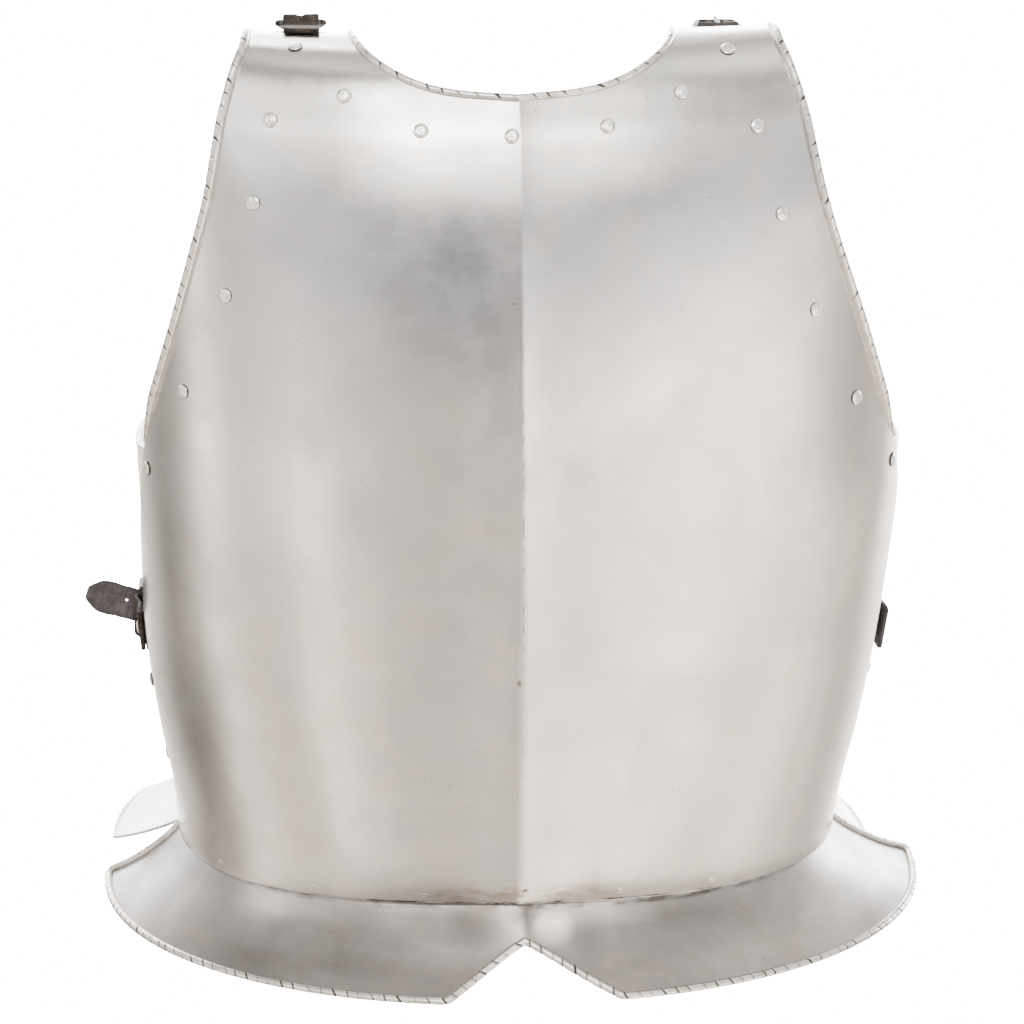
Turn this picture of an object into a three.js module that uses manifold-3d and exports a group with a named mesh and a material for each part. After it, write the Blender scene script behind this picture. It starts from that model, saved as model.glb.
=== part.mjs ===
// Steel cuirass breastplate that stands on the rim of its skirt.
//
// Millimetres. Z is up, the front of the breast faces -Y, and left and right are as seen from
// the front, so left is -X. Every steel plate is a sheet of even thickness: an outer face, an
// inner face one thickness behind it, and an edge that is either plain or rolled into a bead.
//
// The torso is described by two numbers: the angle round the body, 0 at the medial ridge and 90
// at the widest line of each side, and the rise, the length up the front from the waist seam.

import * as THREE from 'three';
import { LoftGeometry } from 'three/addons/geometries/LoftGeometry.js';
import { ParametricGeometry } from 'three/addons/geometries/ParametricGeometry.js';
import { mergeGeometries, mergeVertices } from 'three/addons/utils/BufferGeometryUtils.js';
import Module from 'manifold-3d';

const wasm = await Module();
wasm.setup();

// ---------------------------------------------------------------- driving dimensions

const SHEET = 1.6; // thickness of every steel plate
const GAP = 0.35; // air between two pieces that touch
const CURVE_ROOM = 0.75; // more air where curved faces lie along each other in flat facets
const LAP_INSET = SHEET + GAP + CURVE_ROOM; // how far a plate under another sits behind it

const ARM_ROLL = 2.3; // bead radius of the rolled arm openings
const NECK_ROLL = 1.9; // bead radius of the rolled neck
const SKIRT_ROLL = 2.1; // bead radius of the rolled rims below the waist

const WAIST_Z = 41; // height of the waist seam above the ground
const GIRTH_POWER = 2.4; // squareness of the torso in plan, 2 is an ellipse
const REAR_DEPTH = 200; // depth of the torso's curve behind the widest line
const KEEL = { proud: 2.2, spread: 16 }; // the medial ridge: how proud and how wide it is

const CENTRE = new THREE.Vector3(0.8, -36.6, 0); // brings the middle of the outline to the origin

// The medial ridge in side view, from the waist up and back over the shoulder line.
const RIDGE_PROFILE = [
  { y: -81, z: 41 },
  { y: -93, z: 80 },
  { y: -103, z: 128 },
  { y: -110, z: 180 },
  { y: -112, z: 232 },
  { y: -110, z: 290 },
  { y: -103, z: 348 },
  { y: -92, z: 402 },
  { y: -80, z: 437 },
  { y: -70, z: 456 },
  { y: -60, z: 470.5 },
  { y: -47, z: 478.6 },
  { y: -30, z: 480.9 },
  { y: -12, z: 479.3 },
  { y: 0, z: 476.7 },
];

// Half widths of the torso on each side of the ridge, and y of its widest line.
const GIRTH = [
  { z: 41, left: 174.5, right: 171.5, side: 40 },
  { z: 70, left: 177, right: 175.5, side: 37 },
  { z: 110, left: 184, right: 184, side: 34 },
  { z: 150, left: 189, right: 190.5, side: 31 },
  { z: 200, left: 191.9, right: 196.9, side: 29 },
  { z: 260, left: 194.4, right: 202.9, side: 28 },
  { z: 330, left: 193.9, right: 201.9, side: 28 },
  { z: 480, left: 190, right: 195, side: 28 },
];

// The breast plate's side edge below the arm opening: its angle, and how many degrees a side
// plate runs in under it.
const SIDE_SEAM = [
  { rise: 0, angle: 93, lap: 1.3 },
  { rise: 15, angle: 92.6, lap: 1 },
  { rise: 50, angle: 91.4, lap: 6 },
  { rise: 100, angle: 87.6, lap: 7 },
  { rise: 143, angle: 83.7, lap: 7 },
  { rise: 170, angle: 80.5, lap: 7 },
  { rise: 200, angle: 76.8, lap: 7 },
];
const ARMPIT_RISE = 234;
const SHOULDER_RISE = 503; // the rear edge of the shoulders

// The arm openings: distance of the sheet's edge from the ridge plane.
const ARM_EDGE = [
  { rise: 234, left: 186.5, right: 191.5 },
  { rise: 258, left: 181.5, right: 184.5 },
  { rise: 282, left: 175, right: 177.2 },
  { rise: 305, left: 168.5, right: 170 },
  { rise: 328, left: 162.3, right: 162.4 },
  { rise: 350, left: 156.4, right: 155.2 },
  { rise: 371, left: 151, right: 149.2 },
  { rise: 391, left: 147.3, right: 144.8 },
  { rise: 412, left: 143.6, right: 140.6 },
  { rise: 429, left: 139.5, right: 136.2 },
  { rise: 443, left: 135.6, right: 132 },
  { rise: 457, left: 131.8, right: 128.6 },
  { rise: 503, left: 129, right: 127 },
];

// Half of the neck edge, from its lowest point out and up to the shoulder's rear corner.
const NECK_EDGE = [
  { across: 0, rise: 428.2 },
  { across: 25, rise: 429.8 },
  { across: 41, rise: 432.6 },
  { across: 54, rise: 437.4 },
  { across: 64.5, rise: 444 },
  { across: 72.3, rise: 452 },
  { across: 77.3, rise: 462 },
  { across: 79.8, rise: 476 },
  { across: 80.5, rise: 503 },
];
const NECK_MIDDLE = -1; // x of the neck's lowest point

// The skirt and the tabs behind it flare from the waist to a plan curve like the torso's, at a
// height z. The rim spans other angles than the waist does.
const SKIRT = {
  waist: [-90.5, 90],
  rim: [-91.5, 94],
  plan: { left: 212, right: 217, front: 172, side: 60, rear: 200, power: 2.1, z: 1.7 },
};
const SIDE_REAR_ANGLE = 114; // where the side plates and their tabs end
const TABS = {
  left: {
    waist: [-SIDE_REAR_ANGLE, -91.7],
    rim: [-112.5, -92.6],
    plan: { left: 210, right: 210, front: 172, side: 60, rear: 200, power: 2.1, z: 20 },
  },
  right: {
    waist: [91.7, SIDE_REAR_ANGLE],
    rim: [92.6, 111],
    plan: { left: 197, right: 197, front: 172, side: 60, rear: 240, power: 2.1, z: 7 },
  },
};
const FLARE_DROP = 2.5; // straight length below the waist before the flare
const FLARE_LENGTH = 60; // nominal length of the flare, along the sheet
const FLARE = [
  { along: 0, out: 0, down: 0 },
  { along: 0.25, out: 0.21, down: 0.29 },
  { along: 0.5, out: 0.45, down: 0.55 },
  { along: 0.75, out: 0.71, down: 0.79 },
  { along: 1, out: 1, down: 1 },
];
const SKIRT_TUCK = 11; // how far the skirt runs up inside the breast plate
const NOTCH = { halfAngle: 10.9, depth: 0.66 }; // the V notch: half width in degrees, share of flare

// The side plates' top edge: it starts just behind the seam and falls towards the rear.
const SIDE_TOP = { gap: 0.5, seam: 229, rear: 206 };

// Rivets: a shallow dome outside, a shank, and a flatter peened tail inside.
const RIVET = { head: 3.6, dome: 1.5, shank: 1.5, tail: 2.7, peen: 0.9 };
const TAIL_ROOM = 1.3; // air behind the last sheet, where a curved plate is made of flat facets
const FLUSH_RIVET = { head: 2.2, dome: 0.35, shank: 1.3, tail: 2.3, peen: 0.7 };

// Rivets of the breast plate alone.
const BREAST_RIVETS = [
  { name: 'rivet_neck_centre', across: -3.8, rise: 410 },
  { name: 'rivet_neck_left_1', across: -47.8, rise: 412.4 },
  { name: 'rivet_neck_left_2', across: -84.7, rise: 429.3 },
  { name: 'rivet_neck_right_1', across: 43, rise: 413.8 },
  { name: 'rivet_neck_right_2', across: 79.8, rise: 429.5 },
  { name: 'rivet_arm_left_1', across: -120.7, rise: 415 },
  { name: 'rivet_arm_left_2', across: -129.7, rise: 373 },
  { name: 'rivet_arm_left_3', across: -144.1, rise: 325 },
  { name: 'rivet_arm_left_4', across: -165.9, rise: 271.5 },
  { name: 'rivet_arm_right_1', across: 117.1, rise: 409.5 },
  { name: 'rivet_arm_right_2', across: 129.2, rise: 364.6 },
  { name: 'rivet_arm_right_3', across: 146.8, rise: 314.3 },
  { name: 'rivet_arm_right_4', across: 168.9, rise: 264.5 },
];

// Rivets that hold the side plates under the breast plate, set in from the seam by an angle.
const SIDE_RIVETS = [
  { level: 1, rise: 222, inset: 2.9 },
  { level: 2, rise: 92, inset: 3.2 },
  { level: 3, rise: 44, inset: 3 },
];
const WAIST_RIVETS = [-58, -33, -12.5, 13.5, 31, 58]; // angles of the flush rivets at the waist
const WAIST_RIVET_RISE = 5.5;

// Leather and ironwork. A chape is the folded leather that holds a buckle by its near bar.
const LEATHER = 2.4;
const WIRE = 1.5; // radius of the buckles' iron wire
const BAR_PLAY = 0.4; // room between a buckle's bar and what wraps it
const TONGUE = { width: 3, thick: 1.7, ring: 1.3, overhang: 2.4 };
const SLOT = { width: 4.4, front: 7.5, rear: 9.5 }; // the slot for the tongue, round the bar

// Shoulder chapes: x and width, the rivet's rise, the buckle's near bar in side view, and how
// far the buckle droops behind. The left one's upper layer comes back over the plate to topRise.
const SHOULDER_CHAPES = {
  left: {
    across: -104.5,
    width: 18,
    rivet: { across: -107.9, rise: 458.8 },
    bar: { y: 12.6, z: 479.5 },
    droop: 20,
    topRise: 478,
    buckle: { inner: 21, reach: 19, taper: 3.5 },
  },
  right: {
    across: 104,
    width: 20,
    rivet: { across: 103.7, rise: 452.6 },
    bar: { y: 14, z: 472.6 },
    droop: 1,
    topRise: null,
    buckle: { inner: 23, reach: 19, taper: 4 },
  },
};

// The waist strap runs level round the back from the right side plate to the left side buckle.
const STRAP = { width: 18, thick: 2.2, z: 153 };
const STRAP_ANCHOR = [
  { angle: 84.8, lift: 2.6, width: 20 },
  { angle: 85.6, lift: 2.2, width: 24 },
  { angle: 87.2, lift: 1.2, width: 24 },
  { angle: 88.8, lift: 0.2, width: 24 },
  { angle: 90.4, lift: -1, width: 23 },
  { angle: 92, lift: -1.9, width: 21.5 },
  { angle: 94.5, lift: -1.95, width: 18.5 },
];
const STRAP_RIVET_ANGLE = 92.6;
const STRAP_BACK = [
  { x: 166, y: 144, z: 152.5 },
  { x: 112, y: 172, z: 150.5 },
  { x: 40, y: 184, z: 149 },
  { x: -40, y: 184, z: 149 },
  { x: -112, y: 172, z: 150.5 },
  { x: -166, y: 144, z: 152.5 },
];
const SIDE_BUCKLE = { barY: 50, z: 153.5, inner: 25, reach: 20, taper: 1 };
const SIDE_CHAPE = { width: 22, frontY: 26, rivetY: 34 };

// The strap's free end: it comes out through the left buckle and stands out sideways, rising.
const FREE_END = {
  rise: 16,
  y: 60.7,
  route: [
    { x: -187.3, y: 71.5, z: 153.1, width: 18, turn: 0.2 },
    { x: -188.2, y: 66.6, z: 153.4, width: 18, turn: 0.4 },
    { x: -190, y: 63.6, z: 153.8, width: 18, turn: 0.6 },
    { x: -192.6, y: 61.6, z: 154.6, width: 18, turn: 0.8 },
    { x: -196, y: 60.8, z: 155.6, width: 18, turn: 1 },
    { x: -204, y: 60.6, z: 158, width: 18, turn: 1 },
    { x: -212, y: 60, z: 160.6, width: 18, turn: 1 },
    { x: -216.5, y: 58.8, z: 162.2, width: 14, turn: 1 },
    { x: -220.5, y: 57.2, z: 163.8, width: 7, turn: 1 },
  ],
};
const STRAP_HOLES = [
  { x: -194.4, z: 153.5, radius: 2.2 },
  { x: -199.8, z: 158.2, radius: 1.4 },
];

// ---------------------------------------------------------------- materials

const STEEL = { color: 0xb9b6b1, roughness: 0.34, metalness: 1 };
const RIVET_STEEL = { color: 0xcfccc6, roughness: 0.3, metalness: 1 };
const IRON = { color: 0x2b2826, roughness: 0.5, metalness: 1 };
const HIDE = { color: 0x3b2f29, roughness: 0.75, metalness: 0 };

// ---------------------------------------------------------------- small helpers

const radians = THREE.MathUtils.degToRad;
const mix = THREE.MathUtils.lerp;

// A smooth value of one column of a table, at a place along its key column.
function smooth(rows, key, column, at) {
  const last = rows.length - 1;
  if (at <= rows[0][key]) return rows[0][column];
  if (at >= rows[last][key]) return rows[last][column];
  const i = rows.findIndex((row) => row[key] > at) - 1;
  const slope = (k) => {
    const before = rows[Math.max(k - 1, 0)];
    const after = rows[Math.min(k + 1, last)];
    return (after[column] - before[column]) / (after[key] - before[key]);
  };
  const step = rows[i + 1][key] - rows[i][key];
  const t = (at - rows[i][key]) / step;
  return (
    rows[i][column] * (1 + 2 * t) * (1 - t) ** 2 +
    slope(i) * step * t * (1 - t) ** 2 +
    rows[i + 1][column] * t * t * (3 - 2 * t) +
    slope(i + 1) * step * t * t * (t - 1)
  );
}

// Joins open patches along their shared edges into one closed geometry.
function sew(patches) {
  const bare = patches.map((patch) => {
    const copy = patch.index ? patch.toNonIndexed() : patch.clone();
    copy.deleteAttribute('normal');
    copy.deleteAttribute('uv');
    return copy;
  });
  const welded = mergeVertices(mergeGeometries(bare), 1e-3);
  const corners = welded.index.array;
  const kept = [];
  for (let i = 0; i < corners.length; i += 3) {
    const [a, b, c] = [corners[i], corners[i + 1], corners[i + 2]];
    if (a !== b && b !== c && c !== a) kept.push(a, b, c);
  }
  welded.setIndex(kept);
  welded.computeVertexNormals();
  return welded;
}

// ---------------------------------------------------------------- solids by joining and cutting

function toSolid(geometry) {
  const welded = sew([geometry]);
  const mesh = new wasm.Mesh({
    numProp: 3,
    vertProperties: new Float32Array(welded.attributes.position.array),
    triVerts: new Uint32Array(welded.index.array),
  });
  return new wasm.Manifold(mesh);
}

function toGeometry(solid) {
  const mesh = solid.getMesh();
  const geometry = new THREE.BufferGeometry();
  geometry.setAttribute('position', new THREE.Float32BufferAttribute(mesh.vertProperties, 3));
  geometry.setIndex(Array.from(mesh.triVerts));
  geometry.computeVertexNormals();
  return geometry;
}

function cutAll(geometry, tools) {
  const solid = tools.reduce((left, tool) => left.subtract(toSolid(tool)), toSolid(geometry));
  return toGeometry(solid);
}

// ---------------------------------------------------------------- the torso's surface

const ridge = new THREE.SplineCurve(RIDGE_PROFILE.map((row) => new THREE.Vector2(row.y, row.z)));
ridge.arcLengthDivisions = 400;
const RIDGE_LENGTH = ridge.getLength();

function ridgeAt(rise) {
  const point = ridge.getPointAt(THREE.MathUtils.clamp(rise / RIDGE_LENGTH, 0, 1));
  return { y: point.x, z: point.y };
}

// A point of a plan curve: a squared ellipse with its own depth before and behind the widest line.
function planPoint(angle, plan) {
  const turn = radians(angle);
  const ahead = Math.cos(turn);
  const aside = Math.sin(turn);
  const half = aside < 0 ? plan.left : plan.right;
  const depth = ahead > 0 ? plan.front : plan.rear;
  const x = half * Math.sign(aside) * Math.abs(aside) ** (2 / plan.power);
  const y = plan.side - depth * Math.sign(ahead) * Math.abs(ahead) ** (2 / plan.power);
  return { x, y };
}

function torsoPlan(z, frontY) {
  const side = smooth(GIRTH, 'z', 'side', z);
  return {
    left: smooth(GIRTH, 'z', 'left', z),
    right: smooth(GIRTH, 'z', 'right', z),
    front: side - frontY,
    side,
    rear: REAR_DEPTH,
    power: GIRTH_POWER,
  };
}

function torsoSkin(angle, rise) {
  const { y, z } = ridgeAt(rise);
  const point = planPoint(angle, torsoPlan(z, y));
  const keel = KEEL.proud * (1 - Math.exp(-Math.abs(point.x) / KEEL.spread));
  return new THREE.Vector3(point.x, point.y + keel, z);
}

// The angle at which the torso is this far from the ridge plane.
function angleAcross(across, rise) {
  const { y, z } = ridgeAt(rise);
  const plan = torsoPlan(z, y);
  const share = Math.min(Math.abs(across) / (across < 0 ? plan.left : plan.right), 1);
  const turn = THREE.MathUtils.radToDeg(Math.asin(share ** (GIRTH_POWER / 2)));
  return Math.sign(across) * turn;
}

// The outward normal of any surface given as a function of two numbers.
function normalOf(surface, a, b, stepA, stepB) {
  const alongA = surface(a + stepA, b).sub(surface(a - stepA, b));
  const alongB = surface(a, b + stepB).sub(surface(a, b - stepB));
  return alongA.cross(alongB).normalize();
}

// A point of the torso set back by a depth behind its outer skin.
function torsoPoint(angle, rise, depth) {
  const safeRise = THREE.MathUtils.clamp(rise, 0.3, RIDGE_LENGTH - 0.3);
  const normal = normalOf(torsoSkin, angle, safeRise, 0.2, 0.3);
  return torsoSkin(angle, rise).addScaledVector(normal, -depth);
}

// ---------------------------------------------------------------- sheets with plain or rolled edges

const BEAD_TURNS = [-145, -90, -35, 20, 75, 130]; // places round a bead, outer face to inner face
const BEAD_TILT = Math.PI / 2 - 0.3; // turns the places so that they start behind the outer face

// One section of a rolled edge, from the outer face to the inner face: it swings out round a bead
// that stands proud of the outer face.
function edgeSection(outer, inner, outward, radius) {
  const normal = new THREE.Vector3().subVectors(outer, inner).normalize();
  const centre = outer.clone().addScaledVector(outward, radius * 0.55);
  centre.addScaledVector(normal, radius - SHEET);
  const middle = BEAD_TURNS.map((turn) => {
    const swing = radians(turn) + BEAD_TILT;
    return centre
      .clone()
      .addScaledVector(outward, radius * Math.sin(swing))
      .addScaledVector(normal, radius * Math.cos(swing));
  });
  return [outer, ...middle, inner];
}

// The outward direction in the sheet at each point of an edge run, mitred at its corners.
function outwardDirections(outers, inners) {
  return outers.map((point, i) => {
    const normal = new THREE.Vector3().subVectors(point, inners[i]).normalize();
    const before = outers[Math.max(i - 1, 0)];
    const after = outers[Math.min(i + 1, outers.length - 1)];
    const sides = [
      new THREE.Vector3().subVectors(point, before),
      new THREE.Vector3().subVectors(after, point),
    ]
      .filter((side) => side.lengthSq() > 0)
      .map((side) => side.normalize().cross(normal).normalize());
    const middle = sides.reduce((sum, side) => sum.add(side.clone()), new THREE.Vector3());
    middle.normalize();
    return middle.divideScalar(Math.max(middle.dot(sides[0]), 0.6));
  });
}

// A net is a list of rows of places on a surface, the lowest row first. These are its grid lines
// between four edges that meet at the corners, each a list of places.
function netBetween(bottom, right, top, left) {
  const columns = bottom.length - 1;
  const rows = left.length - 1;
  const place = (i, j) => {
    const u = i / columns;
    const v = j / rows;
    const blend = (key) => {
      const upDown = mix(bottom[i][key], top[i][key], v);
      const leftRight = mix(left[j][key], right[j][key], u);
      const lowCorners = mix(bottom[0][key], bottom[columns][key], u);
      const highCorners = mix(top[0][key], top[columns][key], u);
      return upDown + leftRight - mix(lowCorners, highCorners, v);
    };
    return { angle: blend('angle'), rise: blend('rise') };
  };
  return left.map((_, j) => bottom.map((__, i) => place(i, j)));
}

function netPatch(net, face, depth, flip) {
  const columns = net[0].length - 1;
  const rows = net.length - 1;
  const pointAt = (u, v, target) => {
    const column = Math.round((flip ? 1 - u : u) * columns);
    target.copy(face(net[Math.round(v * rows)][column], depth));
  };
  return new ParametricGeometry(pointAt, columns, rows);
}

// A closed sheet. face(place, depth) is a point at a depth behind the outer face, nets cover the
// sheet, and runs go once round its outline, counter-clockwise from outside, each a list of
// places with the radius of its bead (0 is a plain edge). Nothing goes below the floor.
function sheetGeometry({ face, nets, runs, floor = -Infinity }) {
  const edges = runs.map(({ places, roll }) => {
    const outers = places.map((place) => face(place, 0));
    const inners = places.map((place) => face(place, SHEET));
    if (roll === 0) {
      return new LoftGeometry(outers.map((outer, i) => [outer, inners[i]]), { closed: false });
    }
    const outwards = outwardDirections(outers, inners);
    const sections = outers.map((outer, i) => edgeSection(outer, inners[i], outwards[i], roll));
    return new LoftGeometry(sections, { closed: false, capStart: true, capEnd: true });
  });
  const faces = nets.flatMap((net) => [
    netPatch(net, face, 0, false),
    netPatch(net, face, SHEET, true),
  ]);
  const geometry = sew([...faces, ...edges]);
  const position = geometry.attributes.position;
  for (let i = 0; i < position.count; i += 1) position.setZ(i, Math.max(position.getZ(i), floor));
  return geometry;
}

function evenSteps(count) {
  return Array.from({ length: count + 1 }, (_, i) => i / count);
}

// ---------------------------------------------------------------- the breast plate

const NECK_STEPS = 8; // grid columns in each half of the neck's low curve
const NECK_SIDE_STEPS = 8; // grid rows beside the steep ends of the neck
const SHOULDER_STEPS = 4; // grid columns across each shoulder
const SEAM_STEPS = 9; // grid rows beside the side seam
const ARM_STEPS = 11; // grid rows from the armpit to the level of the neck
const NECK_TURN = 66; // distance from the ridge at which the neck's low curve ends
const CHEST_RISE = 441; // rise on the arm opening at which the shoulders begin

const neckCurve = new THREE.SplineCurve(
  NECK_EDGE.map((row) => new THREE.Vector2(row.across, row.rise)),
);

// Share of the half neck's length at which it turns from its low curve to its steep end.
const neckTurnShare = evenSteps(400).find((t) => neckCurve.getPointAt(t).x >= NECK_TURN);

function neckPlace(sign, share) {
  const point = neckCurve.getPointAt(share);
  return { angle: angleAcross(sign * point.x + NECK_MIDDLE, point.y), rise: point.y };
}

function armPlace(side, rise) {
  const sign = side === 'left' ? -1 : 1;
  return { angle: angleAcross(sign * smooth(ARM_EDGE, 'rise', side, rise), rise), rise };
}

// The side edge's angle without its sign, running smoothly into the arm opening.
function seamAngle(side, rise) {
  const armpit = { rise: ARMPIT_RISE, angle: Math.abs(armPlace(side, ARMPIT_RISE).angle) };
  return smooth([...SIDE_SEAM, armpit], 'rise', 'angle', rise);
}

function seamPlace(side, rise) {
  const sign = side === 'left' ? -1 : 1;
  return { angle: sign * seamAngle(side, rise), rise };
}

function between(from, to, steps) {
  return evenSteps(steps).map((t) => ({
    angle: mix(from.angle, to.angle, t),
    rise: mix(from.rise, to.rise, t),
  }));
}

// The outline of one side of the plate, from the waist up.
function sideEdges(side) {
  const sign = side === 'left' ? -1 : 1;
  const seam = evenSteps(SEAM_STEPS).map((t) => seamPlace(side, t * ARMPIT_RISE));
  const arm = evenSteps(ARM_STEPS).map((t) => armPlace(side, mix(ARMPIT_RISE, CHEST_RISE, t)));
  const shoulder = evenSteps(NECK_SIDE_STEPS).map((t) =>
    armPlace(side, mix(CHEST_RISE, SHOULDER_RISE, t)),
  );
  const neckLow = evenSteps(NECK_STEPS).map((t) => neckPlace(sign, t * neckTurnShare));
  const neckSide = evenSteps(NECK_SIDE_STEPS).map((t) =>
    neckPlace(sign, mix(neckTurnShare, 1, t)),
  );
  return { seam, arm, shoulder, neckLow, neckSide };
}

function breastSheet() {
  const left = sideEdges('left');
  const right = sideEdges('right');
  const leftTie = between(left.arm[ARM_STEPS], left.neckSide[0], SHOULDER_STEPS);
  const rightTie = between(right.neckSide[0], right.arm[ARM_STEPS], SHOULDER_STEPS);
  const chestTop = [
    ...leftTie,
    ...[...left.neckLow].reverse().slice(1),
    ...right.neckLow.slice(1),
    ...rightTie.slice(1),
  ];
  const waist = between(left.seam[0], right.seam[0], chestTop.length - 1);
  const leftTop = between(
    left.shoulder[NECK_SIDE_STEPS],
    left.neckSide[NECK_SIDE_STEPS],
    SHOULDER_STEPS,
  );
  const rightTop = between(
    right.neckSide[NECK_SIDE_STEPS],
    right.shoulder[NECK_SIDE_STEPS],
    SHOULDER_STEPS,
  );
  const leftBody = [...left.seam, ...left.arm.slice(1)];
  const rightBody = [...right.seam, ...right.arm.slice(1)];
  const neck = [
    ...[...right.neckSide].reverse(),
    ...[...right.neckLow].reverse().slice(1),
    ...left.neckLow.slice(1),
    ...left.neckSide.slice(1),
  ];
  const upArm = ({ arm, shoulder }) => [...arm, ...shoulder.slice(1)];
  return {
    nets: [
      netBetween(waist, rightBody, chestTop, leftBody),
      netBetween(leftTie, left.neckSide, leftTop, left.shoulder),
      netBetween(rightTie, right.shoulder, rightTop, right.neckSide),
    ],
    runs: [
      { places: waist, roll: 0 },
      { places: right.seam, roll: 0 },
      { places: upArm(right), roll: ARM_ROLL },
      { places: [...rightTop].reverse(), roll: 0 },
      { places: neck, roll: NECK_ROLL },
      { places: [...leftTop].reverse(), roll: 0 },
      { places: upArm(left).reverse(), roll: ARM_ROLL },
      { places: [...left.seam].reverse(), roll: 0 },
    ],
  };
}

function breastPlate(holes) {
  const face = ({ angle, rise }, depth) => torsoPoint(angle, rise, depth);
  return cutAll(sheetGeometry({ face, ...breastSheet() }), holes);
}

// ---------------------------------------------------------------- the skirt and the side plates

const FLARE_STEPS = 5; // grid rows down a flare
const RIM_STEPS = 11; // grid columns in each half of the skirt's rim
const NOTCH_STEPS = 3; // grid columns on each side of the notch
const RIM_RISE = -(FLARE_DROP + FLARE_LENGTH);
const APEX_RISE = -(FLARE_DROP + FLARE_LENGTH * (1 - NOTCH.depth));

// The outer face of a plate that lies behind the breast plate and flares out below the waist.
function flareSkin(flare, angle, rise) {
  const start = torsoPoint(angle, Math.max(rise, 0), LAP_INSET);
  start.z += THREE.MathUtils.clamp(rise, -FLARE_DROP, 0);
  if (rise >= -FLARE_DROP) return start;
  const along = (-rise - FLARE_DROP) / FLARE_LENGTH;
  const out = smooth(FLARE, 'along', 'out', along);
  const down = smooth(FLARE, 'along', 'down', along);
  const rimAngle = THREE.MathUtils.mapLinear(angle, ...flare.waist, ...flare.rim);
  const rim = planPoint(rimAngle, flare.plan);
  return new THREE.Vector3(
    mix(start.x, rim.x, out),
    mix(start.y, rim.y, out),
    mix(start.z, flare.plan.z, down),
  );
}

function flareFace(flare) {
  return ({ angle, rise }, depth) => {
    if (rise > 0) return torsoPoint(angle, rise, LAP_INSET + depth);
    const normal = normalOf((a, b) => flareSkin(flare, a, b), angle, rise, 0.2, 0.3);
    return flareSkin(flare, angle, rise).addScaledVector(normal, -depth);
  };
}

// The same angles again at another rise.
function levelAt(places, rise) {
  return places.map((place) => ({ angle: place.angle, rise }));
}

function skirtPlate(holes) {
  const [from, to] = SKIRT.waist;
  const corners = [
    { angle: from, rise: RIM_RISE, steps: RIM_STEPS },
    { angle: -NOTCH.halfAngle, rise: RIM_RISE, steps: NOTCH_STEPS },
    { angle: 0, rise: APEX_RISE, steps: NOTCH_STEPS },
    { angle: NOTCH.halfAngle, rise: RIM_RISE, steps: RIM_STEPS },
    { angle: to, rise: RIM_RISE, steps: 0 },
  ];
  const rim = corners.slice(0, -1).flatMap((corner, i) =>
    between(corner, corners[i + 1], corner.steps).slice(i === 0 ? 0 : 1),
  );
  const bend = levelAt(rim, -FLARE_DROP);
  const waist = levelAt(rim, 0);
  const top = levelAt(rim, SKIRT_TUCK);
  const ends = (low, high, steps) => [
    between(low[0], high[0], steps),
    between(low.at(-1), high.at(-1), steps),
  ];
  const net = (low, high, steps) => {
    const [left, right] = ends(low, high, steps);
    return netBetween(low, right, high, left);
  };
  const [leftFlare, rightFlare] = ends(rim, bend, FLARE_STEPS);
  const [leftDrop, rightDrop] = ends(bend, waist, 1);
  const [leftTuck, rightTuck] = ends(waist, top, 1);
  const rolled = [...[...leftFlare].reverse(), ...rim.slice(1), ...rightFlare.slice(1)];
  const sheet = sheetGeometry({
    face: flareFace(SKIRT),
    nets: [net(rim, bend, FLARE_STEPS), net(bend, waist, 1), net(waist, top, 1)],
    runs: [
      { places: rolled, roll: SKIRT_ROLL },
      { places: [...rightDrop, ...rightTuck.slice(1)], roll: 0 },
      { places: [...top].reverse(), roll: 0 },
      { places: [...leftDrop, ...leftTuck.slice(1)].reverse(), roll: 0 },
    ],
    floor: 0,
  });
  return cutAll(sheet, holes);
}

const SIDE_LAP_STEPS = 2; // grid columns of a side plate under the breast plate
const SIDE_OPEN_STEPS = 7; // grid columns of a side plate behind the seam
const SIDE_ROWS = 8; // grid rows from the waist to the top

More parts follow.
